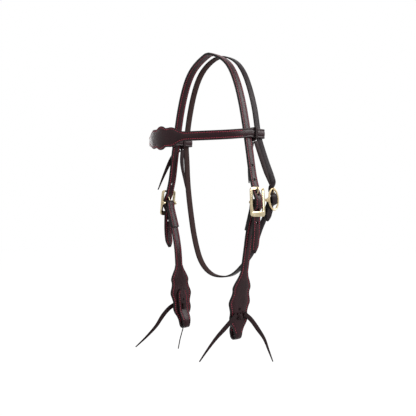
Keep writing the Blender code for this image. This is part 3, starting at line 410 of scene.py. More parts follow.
def buckle_seat(sign, upright=False):
    """A cheek buckle's axes, leaning with its frame or upright for the strap below it."""
    slope = 0 if upright else frame_slopes[sign]
    return Seat((sign * bar_spreads[sign], 0, -bar_drop), (sign, 0, slope), (-sign * slope, 0, 1))


def arc(centre, radius, start, end, steps):
    return [
        (centre[0] + radius * math.cos(a), centre[1] + radius * math.sin(a))
        for a in np.linspace(start, end, steps + 1)
    ]


def tongue_points(seat, bar, radius, standoff, deep, high, rest_bar):
    """A tongue hooked round the centre bar, then out through the strap and over the far bar."""
    hook = arc((0, 0), bar + gap + radius, math.radians(-65), math.radians(143 - 360), hook_places - 2)
    rest = standoff + deep / 2 + gap + radius
    tip = high - rest_bar / 2
    shares = ((0.14, 0.33), (0.48, 0.52), (0.80, 0.70), (0.97, 0.85), (1.0, 0.97))
    free = [(rest * out, tip * up) for out, up in shares] + [(rest, tip + rest_bar * 0.75)]
    path = smooth(hook[-2:] + free, 0.0005)[4:]
    return [seat.at(*p) for p in hook[:-1]] + [seat.at(*p) for p in path]


def cheek_tongue(sign):
    seat = buckle_seat(sign)
    high, top = frame_height / 2, frame_top_bar
    return tongue_points(seat, bar_radius, tongue_radius, frame_standoff, frame_thickness, high, top)


def settle(line, loose, reach=0.009):
    """Evens out the bends of a dense line where it is loose."""
    line = line.copy()
    step = np.linalg.norm(line[1] - line[0])
    for _ in range(int(2 * (reach / step) ** 2)):
        middle = (line[:-2] + 2 * line[1:-1] + line[2:]) / 4
        line[1:-1] = np.where(loose[1:-1, None], middle, line[1:-1])
    return line


def crown_line(sign):
    """The strap from the middle of the poll down one side, through its buckle to the tip."""
    seat = buckle_seat(sign)
    over = bar_radius + gap + cheek_thickness + gap + crown_thickness / 2
    behind = frame_standoff - frame_thickness / 2 - gap - crown_thickness / 2
    high = frame_height / 2
    lean = crown_tail_leans[sign]
    points = [(sign * x, 0, z) for x, z in crown_half]
    points += [seat.at(behind, high), seat.at(behind, high - frame_top_bar - 0.0015)]
    for out, up in ((0.86, 0.0085), (0.99, 0.0045), (1.0, 0.0), (0.99, -0.0045), (0.86, -0.0085)):
        points.append(seat.at(over * out, up))
    points += [seat.at(behind, frame_bottom_bar + 0.0015 - high), seat.at(behind, -high)]
    points.append(seat.at(behind + lean * 0.3, -(high + crown_tail) / 2))
    points.append(seat.at(behind + lean, -crown_tail))
    line = smooth(points, 0.0006)
    loose = (line[:, 2] > frame_height * 0.6 - bar_drop) & (np.abs(line[:, 0]) > 0.0056)
    return settle(line, loose)


def tip_halves(line, width, tip_length, tip_width, both=False):
    """Half widths of a strap cut round at its start, or at both ends."""
    run = lengths_along(line)
    halves = np.full(len(line), width / 2)
    for left in (run, run[-1] - run)[: 1 + both]:
        near = left < tip_length
        halves[near] = (tip_width + (width - tip_width) * np.sin(left[near] / tip_length * math.pi / 2)) / 2
    return halves


dye_dark, dye_light = (0.013, 0.003, 0.004), (0.031, 0.007, 0.011)
burgundy = leather("burgundy_leather", dye_dark, dye_light, (0.004, 0.003, 0.003), 0.16, (0.24, 0.38))


wine = (0.34, 0.02, 0.05)
n = Nodes(bpy.data.materials.new("wine_thread"))
body = n.mix(n.noise(900, 3), tint(wine, 0.6), tint(wine, 1.4))
roughness = n.ramp(n.noise(700, 3), 0.3, 0.7, 0.45, 0.7)
wine_thread = n.finish(body, roughness, n.noise(2600, 2), 0.00008)


def axes_matrix(across, up, out, middle):
    turn = Matrix((across, up, out)).transposed().to_4x4()
    turn.translation = middle
    return turn


def sew(name, line, across, halves, thickness, spans, insets=seam_inset):
    """Rows of thread: spans are the stretches, from and to along the line, that are sewn."""
    pitch, thread_half, thread_rise, sunk = 0.0038, 0.00055, 0.0004, 0.00014
    axes = axes_of(line, across)
    run = lengths_along(line)
    insets = np.broadcast_to(insets, len(line))
    bm = bmesh.new()
    bmesh.ops.create_uvsphere(bm, u_segments=6, v_segments=5, radius=1)
    stitch = bpy.data.meshes.new("stitch")
    bm.to_mesh(stitch)
    bm.clear()
    for start, end in spans:
        count = max(1, int((end - start) / pitch))
        for at in start + (np.arange(count) + 0.5) * (end - start) / count:
            place, ahead, wide, out = [
                Vector([np.interp(at, run, way[:, j]) for j in range(3)]) for way in (line, *axes)
            ]
            half = float(np.interp(at, run, halves))
            inset = min(float(np.interp(at, run, insets)), half * 0.4)
            for side in (-1, 1):
                slope = (ahead + wide * 0.10 * side).normalized()
                beside = out.cross(slope).normalized()
                for face in (1, -1):
                    middle = place + wide * side * (half - inset) + out * face * (thickness / 2 - sunk)
                    size = (slope * pitch * 0.44, beside * thread_half, out * thread_rise)
                    copy = stitch.copy()
                    copy.transform(axes_matrix(*size, middle))
                    bm.from_mesh(copy)
                    bpy.data.meshes.remove(copy)
    bpy.data.meshes.remove(stitch)
    return mesh_piece(name, bm, 180)


def final_mesh(obj):
    return bpy.data.meshes.new_from_object(obj.evaluated_get(bpy.context.evaluated_depsgraph_get()))


def apply_modifiers(obj):
    old, obj.data = obj.data, final_mesh(obj)
    obj.modifiers.clear()
    bpy.data.meshes.remove(old)
    shade(obj.data)


def carve(obj, tool, operation):
    """Joins a tool to a piece or cuts it out, and drops the tool."""
    change = obj.modifiers.new("tool", "BOOLEAN")
    change.operation, change.object, change.solver = operation, tool, "EXACT"
    apply_modifiers(obj)
    bpy.data.objects.remove(tool, do_unlink=True)


def rod(bm, radius, length, axis, segments):
    """Adds a round bar along an axis and gives its vertices."""
    size = {"radius1": radius, "radius2": radius, "depth": length}
    verts = bmesh.ops.create_cone(bm, cap_ends=True, segments=segments, **size)["verts"]
    turn = Vector((0, 0, 1)).rotation_difference(Vector(axis)).to_matrix()
    for vert in verts:
        vert.co = turn @ vert.co
    return verts


def cut_holes(obj, holes, radius):
    """Punched holes: each is a place, an axis, and the slot's length along a direction, or none."""
    bm = bmesh.new()
    for place, axis, run, length in holes:
        for vert in rod(bm, radius, punch_length, axis, 20):
            if length:
                half = length / 2 if vert.co.dot(Vector(run)) > 0 else -length / 2
                vert.co += Vector(run).normalized() * half
            vert.co += Vector(place)
    carve(obj, closed_piece(obj.name + "_cutter", bm), "DIFFERENCE")


def tongue_place(line, tongue, allowed):
    """Which place along a strap a tongue's free end passes through."""
    prong = rows(tongue[hook_places:])
    apart = np.linalg.norm(line[:, None] - prong[None], axis=2).min(axis=1)
    return int(np.argmin(np.where(allowed, apart, 1)))


crown_dense = np.vstack([crown_line(1)[::-1], crown_line(-1)])
crown = even(crown_dense, 0.0021)
crown_across = (0, 1, 0)
crown_halves = tip_halves(crown, strap_width, crown_tip, crown_tip_width, both=True)
crown_piece = sweep("crown_leather", crown, crown_across, crown_halves, crown_thickness)
finish_piece(crown_piece, burgundy, "headstall", "strap_leather", "crown_strap")
crown_sewn = [(crown_seam_start, lengths_along(crown)[-1] - crown_seam_start)]
crown_thread = sew("crown_thread", crown, crown_across, crown_halves, crown_thickness, crown_sewn)
finish_piece(crown_thread, wine_thread, "headstall", "strap_leather")
dense_run = lengths_along(crown_dense)
holes = []
for sign in (1, -1):
    nearest = tongue_place(crown_dense, cheek_tongue(sign), crown_dense[:, 0] * sign > 0)
    for k in (-2, -1, 0, 1, 2):
        at = dense_run[nearest] + sign * k * hole_pitch
        i = int(np.clip(np.searchsorted(dense_run, at), 2, len(crown_dense) - 3))
        direction = Vector(crown_dense[i + 2] - crown_dense[i - 2]).normalized()
        axis = direction.cross(Vector((0, 1, 0)))
        holes.append((crown_dense[i], axis, direction, hole_slot if k == 0 else 0.0))
cut_holes(crown_piece, holes, hole_radius)


# Cheek straps: two plies of the same leather, sewn along both edges, scallops included. Each folds
# round its buckle's centre bar, runs down to a scalloped bit end and turns up inside in a loop for
# the bit's ring, with a slot at the bar for the tongue and two holes for the bit end's lace.
cheek_drop = 0.236
cheek_slopes = {1: 0.32, -1: 0.38}
turned_back = 0.050
plies_meet = 0.012
bit_loop_gap = 0.0085
bit_loop_height = 0.012
bit_tie_height = 0.041
bit_tie_half = 0.0044
bit_hole_height = 0.053
bit_fold_back = 0.073
bit_scallop_length = 0.117
bit_scallop_width = 0.048
bit_fold_width = 0.022
bit_foot_width = 0.015
bar_slot_top = 0.0108
bar_slot_foot = 0.0052
bar_slot_deep = 0.0216
bar_slot_width = 0.0036
fold_ease = math.radians(9)
cheek_routes = {
    1: ((-0.0196, -0.0805), (-0.0269, -0.1194), (-0.0352, -0.1546), (-0.0398, -0.1795), (-0.0411, -0.2045)),
    -1: ((-0.026, -0.0845), (-0.0302, -0.1215), (-0.0337, -0.1546), (-0.0371, -0.1795), (-0.0401, -0.2045)),
}
cheek_feet = {1: -0.0414, -1: -0.0418}
bit_outline = (
    (0.0, 0.33), (0.06, 0.33), (0.12, 0.392), (0.18, 0.53), (0.24, 0.74), (0.29, 0.84),
    (0.335, 0.865), (0.405, 0.815), (0.47, 0.89), (0.54, 1.0), (0.59, 0.965), (0.655, 0.845),
    (0.71, 0.795), (0.77, 0.845), (0.825, 0.76), (0.885, 0.6), (0.94, 0.445), (1.0, 0.352),
)
bit_fold_outline = (
    (0.0, 0.69), (0.14, 0.76), (0.28, 0.92), (0.5, 1.0), (0.82, 1.0), (0.93, 0.8), (1.0, 0.36),
)


def outline(table, shares):
    """Smooth widths between the rows of a table of places and widths."""
    curve = smooth(table, 0.004)
    return np.interp(shares, curve[:, 0], curve[:, 1])


def cheek_path(sign):
    """The strap's middle out from and up from the bar, its widths, and the ends of its stretches."""
    ply = cheek_thickness
    lean = math.atan(cheek_slopes[sign])
    down = np.array((-math.sin(lean), -math.cos(lean)))
    away = np.array((math.cos(lean), -math.sin(lean)))
    apart = (ply + gap) / 2
    turned = [down * s - away * apart for s in np.linspace(turned_back, plies_meet, 12)]
    around = bar_radius + gap + ply / 2
    fold = arc((0, 0), around, math.pi - lean + fold_ease, -lean - fold_ease, 16)
    radius = (bit_loop_gap + ply) / 2
    foot = radius + ply / 2
    route = [down * plies_meet + away * apart, down * turned_back + away * apart]
    route += list(cheek_routes[sign]) + [(cheek_feet[sign], foot - cheek_drop)]
    outer = smooth(route, 0.0012)
    loop = arc((cheek_feet[sign] - radius, foot - cheek_drop), radius, 0, -math.pi, 20)
    heights = np.arange(foot + 0.0012, bit_fold_back, 0.0012)
    beside = np.interp(heights - cheek_drop, outer[::-1, 1], outer[::-1, 0])
    rise = bit_tie_height - bit_loop_height - bit_tie_half
    share = np.clip((heights - bit_loop_height) / rise, 0, 1)
    share = share * share * (3 - 2 * share)
    rising = np.stack([beside - 2 * radius * (1 - share) - (ply + 2 * gap) * share, heights - cheek_drop], 1)
    up = outer[:, 1] + cheek_drop
    scallop = bit_scallop_width * outline(bit_outline, up / bit_scallop_length)
    ends = np.cumsum([len(turned), len(fold), len(outer), len(loop) - 1])
    widths = (
        np.full(ends[1], strap_width),
        np.where(up < bit_scallop_length, scallop, strap_width),
        np.full(len(loop) - 1, bit_foot_width),
        bit_fold_width * outline(bit_fold_outline, heights / bit_fold_back),
    )
    return np.vstack([turned, fold, outer, loop[1:], rising]), np.concatenate(widths), ends


def level_place(sign, height, inside):
    """How far out the strap's main or turned-up ply lies at a height above the foot of the loop."""
    line, _, ends = cheek_path(sign)
    part = line[ends[3] :] if inside else line[ends[1] : ends[2]][::-1]
    return float(np.interp(height, part[:, 1] + cheek_drop, part[:, 0]))


for side, sign in sides.items():
    seat = buckle_seat(sign, upright=True)
    flat, widths, ends = cheek_path(sign)
    line = rows(seat.at(*p) for p in flat)
    across = -seat.across
    insets = seam_inset + 0.1 * np.maximum(0.0, (widths - strap_width) / 2)
    cheek = sweep(f"{side}_cheek_leather", line, across, widths / 2, cheek_thickness, insets)
    run = lengths_along(line)
    spans = [(0.002, run[ends[0]] - 0.001), (run[ends[1]] + 0.001, run[ends[2] - 1] - 0.004)]
    spans.append((run[ends[3]] + 0.006, run[-1] - 0.003))
    seams = sew(f"{side}_cheek_thread", line, across, widths / 2, cheek_thickness, spans, insets)
    holes = []
    for height in (bit_hole_height, bit_tie_height):
        out = (level_place(sign, height, False) + level_place(sign, height, True)) / 2
        holes.append((seat.at(out, height - cheek_drop), seat.out, None, 0.0))
    cut_holes(cheek, holes, hole_radius)
    slot = bmesh.new()
    bmesh.ops.create_cube(slot, size=1)
    turn = Matrix.Rotation(-math.atan(cheek_slopes[sign]), 2)
    for vert in slot.verts:
        up = -bar_slot_foot if vert.co.z < 0 else bar_slot_top
        place = turn @ Vector((vert.co.x * bar_slot_deep, up))
        vert.co = seat.at(place.x, place.y, vert.co.y * bar_slot_width)
    carve(cheek, closed_piece("slot", slot), "DIFFERENCE")
    finish_piece(cheek, burgundy, f"{side}_cheek", "strap_leather", f"{side}_cheek_strap")
    finish_piece(seams, wine_thread, f"{side}_cheek", "strap_leather")


# Bit ties: a lace of the same latigo passes through both plies of the bit end, crosses itself
# outside and is held by a short keeper inside, which shuts the loop on the bit's ring.
def from_curve(name, data):
    """A clean bmesh of a curve, which is dropped."""
    guide = link(bpy.data.objects.new(name + "_guide", data))
    mesh = final_mesh(guide)
    bpy.data.objects.remove(guide, do_unlink=True)
    bm = bmesh.new()
    bm.from_mesh(mesh)
    bpy.data.meshes.remove(mesh)
    bmesh.ops.remove_doubles(bm, verts=bm.verts, dist=0.00001)
    return bm


def add_spline(data, places, closed=True):
    spline = data.splines.new("POLY")
    spline.points.add(len(places) - 1)
    for point, place in zip(spline.points, places):
        point.co = (*place, 1)
    spline.use_cyclic_u = closed
    return spline.points


def wire(name, points, radius, closed=False, tip=False):
    """A round wire along places, with a rounded tip where it ends free."""
    data = bpy.data.curves.new(name, "CURVE")
    data.dimensions = "3D"
    data.bevel_depth = radius
    data.bevel_resolution = 5
    data.use_fill_caps = not closed
    run = lengths_along(rows(points))
    for point, left in zip(add_spline(data, points, closed), run[-1] - run):
        if tip and left < radius:
            point.radius = max(0.15, math.sqrt(max(0.0, 1 - (1 - left / radius) ** 2)))
    return closed_piece(name, from_curve(name, data), 60)


def bead(name, across, up, out, middle):
    """A round lump of tied lace, with its half sizes along three directions."""
    bm = bmesh.new()
    bmesh.ops.create_uvsphere(bm, u_segments=24, v_segments=16, radius=1)
    bmesh.ops.transform(bm, matrix=axes_matrix(across, up, out, middle), verts=bm.verts)
    return closed_piece(name, bm)


for side, sign in sides.items():
    seat = buckle_seat(sign, upright=True)
    body = f"{side}_cheek"
    level = bit_tie_height - cheek_drop
    outer_ply = level_place(sign, bit_tie_height, False)
    outside = outer_ply + cheek_thickness / 2
    inside = level_place(sign, bit_tie_height, True) - cheek_thickness / 2
    half = 0.00625
    slope = (level_place(sign, bit_tie_height + bit_tie_half, False) - outer_ply) / bit_tie_half
    clear = gap + lace_thickness / 2 + abs(slope) * half
    for layer, turn in enumerate((0.62, -0.62)):
        points = []
        for along, rise in ((-1.0, 0.0), (-0.62, 0.35), (-0.3, 1.0), (0.3, 1.0), (0.62, 0.35), (1.0, 0.0)):
            side_way, up = along * half * math.cos(turn), along * half * math.sin(turn)
            lift = clear + rise * lace_thickness * (0.25 + 0.8 * layer)
            points.append(seat.at(outside + lift + slope * up, level + up, side_way))
        line = smooth(points, 0.0008)
        across = seat.up * math.cos(turn) - seat.across * math.sin(turn)
        name = f"{side}_bit_lace_{layer}"
        lace = sweep(name, line, across, lace_width * 0.4, lace_thickness, doubled=False)
        names = [f"{side}_bit_tie_knot"] if layer == 0 else []
        finish_piece(lace, latigo, body, "lace_leather", *names)
    rises = [share * half * 0.8 for share in (-1.0, -0.5, 0.0, 0.5, 1.0)]
    line = smooth([seat.at(inside - clear + slope * up, level + up) for up in rises], 0.0008)
    name = f"{side}_bit_keeper"
    keeper = sweep(name, line, seat.across, lace_width * 0.35, lace_thickness, doubled=False)
    finish_piece(keeper, latigo, body, "lace_leather")
    stem_reach = 0.0012
    ends = [seat.at(inside - stem_reach, level), seat.at(outside + stem_reach, level)]
    finish_piece(wire(f"{side}_bit_stem", ends, 0.0021), latigo, body, "lace_leather")
    middle = seat.at(outside + clear + lace_thickness * 0.9, level)
    name = f"{side}_bit_hitch"
    hitch = bead(name, seat.across * 0.0046, seat.up * 0.0040, seat.out * 0.0024, middle)
    finish_piece(hitch, latigo, body, "lace_leather")


# Cheek buckles: flat rectangular brass castings with a deep foot, polished. Each carries its centre
# bar in two ears behind the frame, and a drawn brass tongue hooked round the bar.
buckle_ears = {1: (0.0006, 0.0112, 0.0126), -1: (0.0012, 0.0122, 0.0155)}


def brass(name, patches, brown, gold, brushed, rough, relief):
    """Brass, brown in the low patches and rubbed bright on the others, with faint scratches."""
    scale, detail, high = patches
    n = Nodes(bpy.data.materials.new(name))
    n.shader.inputs["Metallic"].default_value = 1.0
    colour = n.mix(n.ramp(n.noise(scale, detail), 0.35, high), brown, gold)
    roughness = n.ramp(n.noise(brushed, 6, 0.7), 0.3, 0.75, *rough)
    height = n.sum(n.noise(320, 4), n.noise(2200, 2), 0.3)
    return n.finish(colour, roughness, height, relief)


brown, gold = (0.42, 0.34, 0.21), (0.64, 0.55, 0.37)
cast_brass = brass("cast_brass", (60, 4, 0.7), brown, gold, 240, (0.10, 0.24), 0.00002)


def rounded(width, height, radius, middle):
    """A rectangle with round corners."""
    points = []
    for k, (sx, sy) in enumerate(((1, 1), (-1, 1), (-1, -1), (1, -1))):
        corner = (sx * (width / 2 - radius), middle + sy * (height / 2 - radius))
        points += arc(corner, radius, k * math.pi / 2, (k + 1) * math.pi / 2, 8)
    return points


def plate(name, outlines, thickness, seat, out):
    """A flat casting with openings, drawn across and up and set in a buckle's axes."""
    data = bpy.data.curves.new(name, "CURVE")
    data.dimensions = "2D"
    data.fill_mode = "BOTH"
    data.extrude = thickness / 2
    for places in outlines:
        add_spline(data, [(x, y, 0) for x, y in places])
    bm = from_curve(name, data)
    place = axes_matrix(seat.across, seat.up, seat.out, seat.at(out, 0))
    bmesh.ops.transform(bm, matrix=place, verts=bm.verts)
    return closed_piece(name, bm)


def ears(seat, bar, wall, standoff, inner, outer):
    """Two ears behind a frame that hold the centre bar."""
    bm = bmesh.new()
    ear = bar + gap + wall
    around = arc((0, 0), ear, math.pi / 2, math.pi * 1.5, 16) + [(standoff, -ear), (standoff, ear)]
    for sign in (-1, 1):
        face = bm.faces.new([bm.verts.new(seat.at(o, u, sign * inner)) for o, u in around])
        made = bmesh.ops.extrude_face_region(bm, geom=[face])["geom"]
        moved = [v for v in made if isinstance(v, bmesh.types.BMVert)]
        bmesh.ops.translate(bm, verts=moved, vec=seat.across * sign * (outer - inner))
    return closed_piece("ears", bm)


def bore(seat, radius, length):
    bm = bmesh.new()
    for vert in rod(bm, radius, length, seat.across, 24):
        vert.co = seat.place + vert.co
    return mesh_piece("bore", bm)


def round_edges(obj):
    soften = obj.modifiers.new("round", "BEVEL")
    soften.width = 0.0004
    soften.segments = 3
    soften.limit_method = "ANGLE"
    soften.angle_limit = math.radians(40)
    soften.harden_normals = True
    apply_modifiers(obj)


def centre_bar(name, seat, bar, half):
    """A pin with domed ends, turned on its own axis."""
    profile = [(0.0, -half)] + arc((0.0, bar - half), bar, math.radians(-90), 0, 8)[1:]
    profile += [(r, -w) for r, w in reversed(profile)]
    bm = bmesh.new()
    verts = [bm.verts.new(seat.at(0, r, w)) for r, w in profile]
    edges = [bm.edges.new(pair) for pair in zip(verts, verts[1:])]
    whole = {"cent": seat.place, "axis": seat.across, "angle": 2 * math.pi, "steps": 24}
    bmesh.ops.spin(bm, geom=verts + edges, use_merge=True, **whole)
    bmesh.ops.remove_doubles(bm, verts=bm.verts, dist=0.00001)
    return closed_piece(name, bm)


for side, sign in sides.items():
    seat = buckle_seat(sign)
    inner_width = frame_width - 2 * frame_side_bar
    inner_height = frame_height - frame_top_bar - frame_bottom_bar
    middle = (frame_bottom_bar - frame_top_bar) / 2
    outlines = (
        rounded(frame_width, frame_height, frame_corner, 0.0),
        rounded(inner_width, inner_height, frame_corner - frame_top_bar, middle),
    )
    buckle = plate(f"{side}_buckle_casting", outlines, frame_thickness, seat, frame_standoff)
    ear_wall, ear_inner, ear_outer = buckle_ears[sign]
    carve(buckle, ears(seat, bar_radius, ear_wall, frame_standoff, ear_inner, ear_outer), "UNION")
    carve(buckle, bore(seat, bar_radius + gap, 0.04), "DIFFERENCE")
    round_edges(buckle)
    finish_piece(buckle, cast_brass, "headstall", "brass", f"{side}_buckle_frame")
    bar = centre_bar(f"{side}_buckle_pin", seat, bar_radius, ear_outer + 0.0005)
    finish_piece(bar, cast_brass, "headstall", "brass", f"{side}_buckle_bar")
    tongue = wire(f"{side}_buckle_prong", cheek_tongue(sign), tongue_radius, tip=True)
    finish_piece(tongue, cast_brass, f"{side}_tongue", "brass", f"{side}_buckle_tongue")


# Throatlatch: one single ply of burgundy leather, grain outside and flesh inside, from its billet up
# the near side, over the poll behind the crown strap, down the far side and under the throat to the
# fold round its buckle's bar.
throat_width = 0.0127
throat_thickness = 0.0025
throat_setback = 0.025
throat_drop = 0.403
throat_spread = 0.0995
throat_frame_height = 0.040
throat_frame_width = 0.0255
throat_wire_radius = 0.0017
throat_standoff = 0.006
throat_bar_radius = 0.0015
throat_tongue_radius = 0.001
throat_tip_width = 0.004
throat_hole_radius = 0.0015
throat_tail = 0.038
throat_turned_back = 0.030
throat_meet = 0.009
throat_slope = 0.19
throat_billet_bulge = 0.0022
throat_forward_share = 0.50
throat_buckle = (0.1025, 0.0525, 0.26)
throat_half_arch = (
    (0.14, 0.98, 0.004), (0.275, 0.98, 0.016), (0.385, 0.98, 0.03), (0.479, 0.98, 0.0462),
    (0.547, 0.98, 0.0628), (0.643, 0.98, 0.0954), (0.716, 0.99, 0.1294), (0.777, 0.99, 0.1645),
    (0.828, 1.0, 0.2006), (0.874, 1.01, 0.2372), (0.913, 1.01, 0.274),
)
throat_near = ((0.982, 0.619, 0.6715), (1.015, 0.795, 0.774), (1.054, 0.975, 0.876))
throat_far = (
    (-1.0, 1.08, 0.44), (-0.988, 1.15, 0.56), (-0.957, 1.23, 0.654), (-0.885, 1.23, 0.745),
    (-0.797, 1.22, 0.829), (-0.642, 1.22, 0.925), (-0.436, 1.22, 0.977), (-0.22, 1.22, 0.998),
    (-0.023, 1.22, 1.0), (0.2, 1.22, 0.993), (0.386, 1.22, 0.972), (0.533, 1.23, 0.942),
    (0.66, 1.24, 0.912), (0.764, 1.26, 0.884), (0.855, 1.31, 0.832), (0.915, 1.4, 0.783),
)
browband_width = 0.0159
browband_drop = 0.148


def crown_place(drop):
    """Out from the middle of the head to the crown strap's middle at a drop below the poll."""
    half = crown_dense[len(crown_dense) // 2 :]
    return float(np.interp(drop, -half[:, 2], np.abs(half[:, 0])))


def throat_place(drop):
    return crown_place(drop) + 0.0015


def throat_point(shares):
    """A place from its shares of the strap's spread, setback and drop."""
    out, back, down = shares
    return Vector((out * throat_spread, back * throat_setback, throat_thickness / 2 - down * throat_drop))


def forward(place, depth):
    """The strap under the throat buckle turns forward to follow the jaw."""
    return place - Vector((0, throat_forward_share * max(0.0, depth - 2 * throat_bar_radius), 0))


x, y, z = throat_buckle
seat = Seat((x, y, -z), (1, 0, 0), (0, -0.13, 1))
# The strap's middle runs from its billet to the end that is folded round the bar.
ply = throat_thickness
at_bar = throat_bar_radius + gap + ply + gap + ply / 2
at_frame = throat_standoff - throat_wire_radius - gap - ply / 2
high = throat_frame_height / 2
clear = high * 0.56
bulge = (at_bar + throat_billet_bulge) * 0.9 + at_frame * 0.1
route = [
    forward(seat.at(at_frame, -throat_tail), throat_tail),
    forward(seat.at(at_frame, -high), high),
    forward(seat.at(at_frame, -clear), clear),
    seat.at(bulge, -clear * 0.58),
    seat.at(at_bar + throat_billet_bulge, 0),
    seat.at(bulge, clear * 0.58),
    seat.at(at_frame, clear),
    seat.at(at_frame, high),
]
route += [Vector((x * out, y * back, -z * down)) for out, back, down in reversed(throat_near)]
half = browband_width / 2
drops = (browband_drop + half, browband_drop, browband_drop - half)
route += [Vector((throat_place(d), throat_setback, -d)) for d in drops]
arch = [throat_point(s) for s in throat_half_arch]
route += arch[::-1] + [throat_point((0.0, 0.98, 0.0))] + [Vector((-p.x, p.y, p.z)) for p in arch]
route += [Vector((-throat_place(d), throat_setback, -d)) for d in reversed(drops)]
route += [throat_point(s) for s in throat_far]
throat_lean = math.atan(throat_slope)
down = Vector((-math.sin(throat_lean), -math.cos(throat_lean)))
away = Vector((math.cos(throat_lean), -math.sin(throat_lean)))
apart = (ply + gap) / 2
for s in (throat_turned_back, throat_turned_back / 2, throat_meet):
    route.append(forward(seat.at(*(down * s + away * apart)), s))
dense = smooth(route, 0.0006)
dense = settle(dense, np.linalg.norm(dense - np.array(seat.place), axis=1) > throat_frame_height * 0.8)
around = throat_bar_radius + gap + ply / 2
ends = (-throat_lean - fold_ease, math.pi - throat_lean + fold_ease)
fold = [seat.at(*p) for p in arc((0, 0), around, *ends, 16)]
steps = np.linspace(throat_meet, throat_turned_back, 12)
chape = [forward(seat.at(*(down * s - away * apart)), s) for s in steps]
line = np.vstack([even(dense, 0.002), rows(fold), rows(chape)])


ply_dark, ply_light, ply_flesh = (0.011, 0.007, 0.009), (0.026, 0.015, 0.018), (0.036, 0.019, 0.018)
ply_edge = (0.007, 0.005, 0.005)
single_ply = leather("single_ply_leather", ply_dark, ply_light, ply_edge, 0.08, (0.30, 0.44), ply_flesh)


run = lengths_along(line)
across = []
for i, place in enumerate(line):
    way = Vector(line[min(i + 1, len(line) - 1)] - line[max(i - 1, 0)]).normalized()
    share = ((Vector(place) - seat.place).length - throat_frame_height * 0.6) / throat_frame_height
    back = seat.across.lerp(Vector((0, 1, 0)), min(1.0, max(0.0, share)))
    back -= way * back.dot(way)
    if across and back.dot(Vector(across[-1])) < 0:
        back = -back
    across.append(tuple(back.normalized()))
halves = tip_halves(line, throat_width, throat_width, throat_tip_width)
throat = sweep("throatlatch_leather", line, across, halves, throat_thickness, doubled=False)
ring_deep = 2 * throat_wire_radius
throat_tongue = tongue_points(
    seat, throat_bar_radius, throat_tongue_radius, throat_standoff, ring_deep, high, ring_deep
)
i = tongue_place(line, throat_tongue, run < 0.1)
way = Vector(line[i + 1] - line[i - 1]).normalized()
cut_holes(throat, [(line[i], way.cross(seat.across), way, hole_slot)], throat_hole_radius)
finish_piece(throat, single_ply, "throatlatch", "throat_leather", "throatlatch_strap")


# Throat buckle: an oval ring of round brass wire with two ears brazed behind it, a bar through the
# ears and a small tongue. The ring is a duller, older gold than the cheek buckles.
brown, gold = (0.50, 0.37, 0.20), (0.76, 0.62, 0.40)
antique_brass = brass("antique_brass", (90, 5, 0.68), brown, gold, 260, (0.22, 0.42), 0.00004)
ring_ear_wall = 0.00096
ring_ear_half = 0.00153
wide = throat_frame_width / 2 - throat_wire_radius
high = throat_frame_height / 2 - throat_wire_radius
turns = np.linspace(0, 2 * math.pi, 97)[:-1]
ring = [seat.at(throat_standoff, high * math.sin(a), wide * math.cos(a)) for a in turns]
loop_frame = wire("throat_buckle_ring", ring, throat_wire_radius, closed=True)
ear_ends = (wide - ring_ear_half, wide + ring_ear_half)
ring_ears = ears(seat, throat_bar_radius, ring_ear_wall, throat_standoff + 0.0005, *ear_ends)
carve(loop_frame, ring_ears, "UNION")
carve(loop_frame, bore(seat, throat_bar_radius + gap, 0.03), "DIFFERENCE")
finish_piece(loop_frame, antique_brass, "throatlatch", "brass", "throat_buckle_frame")
bar = centre_bar("throat_buckle_pin", seat, throat_bar_radius, wide + 0.002)
finish_piece(bar, antique_brass, "throatlatch", "brass", "throat_buckle_bar")
tongue = wire("throat_buckle_prong", throat_tongue, throat_tongue_radius, tip=True)
finish_piece(tongue, antique_brass, "throat_tongue", "brass", "throat_buckle_tongue")


# Browband: two plies of burgundy leather over the forehead, sewn along both edges and scalloped in
# front. Each end passes outside both side straps, folds round the throatlatch's rear edge and comes
# back inside them, where its lap is sewn down.
browband_thickness = 0.003
browband_dip = 0.009
browband_reach = 0.109
browband_scallop_height = 0.0406
browband_scallop_length = 0.106
browband_lap = 0.026
browband_play = 0.003
browband_clearance = 0.0005
sewn_lap = (0.001, 0.012)
front_seam_starts = -0.015
browband_outline = (
    (0.0, 1.0), (0.1, 0.95), (0.2, 0.812), (0.25, 0.79), (0.34, 0.795), (0.44, 0.815), (0.53, 0.78),
    (0.62, 0.68), (0.75, 0.52), (0.87, 0.42), (1.0, 0.392),
)
valley = (strap_width / 2 + throat_setback - throat_width / 2) / 2


# The band's plan runs from its left loop's inner end to the crown strap's outer face.
reach = browband_width / 2 + browband_play
top, foot = browband_drop - reach, browband_drop + reach
ply = browband_thickness
room = browband_clearance + ply / 2
over_crown = crown_place(foot) + crown_thickness / 2 + room
under_crown = crown_place(top) - crown_thickness / 2 - room
over_throat = throat_place(foot) + throat_thickness / 2 + room
under_throat = throat_place(top) - throat_thickness / 2 - room
rear = throat_setback + throat_width / 2 + 0.0015 - ply / 2
beside = throat_setback - throat_width * 0.53
front = strap_width / 2
plan = [
    (over_crown - ply - gap, -browband_lap),
    (over_crown - ply * 1.15 - gap, -browband_lap * 0.82),
    ((over_crown - ply + under_crown) / 2, -front * 1.7),
    (under_crown, -front),
    (under_crown, 0.0),
    (under_crown, front * 1.15),
    (max(under_crown, under_throat) + ply * 0.2, valley),
    (under_throat, beside),
    (under_throat, rear),
]
turn = ((over_throat + under_throat) / 2, rear)
plan += arc(turn, (over_throat - under_throat) / 2, math.pi, 0, 12)[1:]
plan += [
    (over_throat, beside),
    (min(over_crown, over_throat) - ply * 0.25, valley),
    (over_crown, front * 1.15),
    (over_crown, 0.0),
]
arch = [(over_crown * math.cos(a), -browband_reach * math.sin(a)) for a in np.linspace(0, math.pi, 65)][1:-1]
line = []
for x, y in plan + arch + [(-x, y) for x, y in reversed(plan)]:
    forward_share = max(0.0, -y) / browband_reach
    line.append((x, y, -browband_drop - browband_dip * forward_share * (2 - forward_share)))
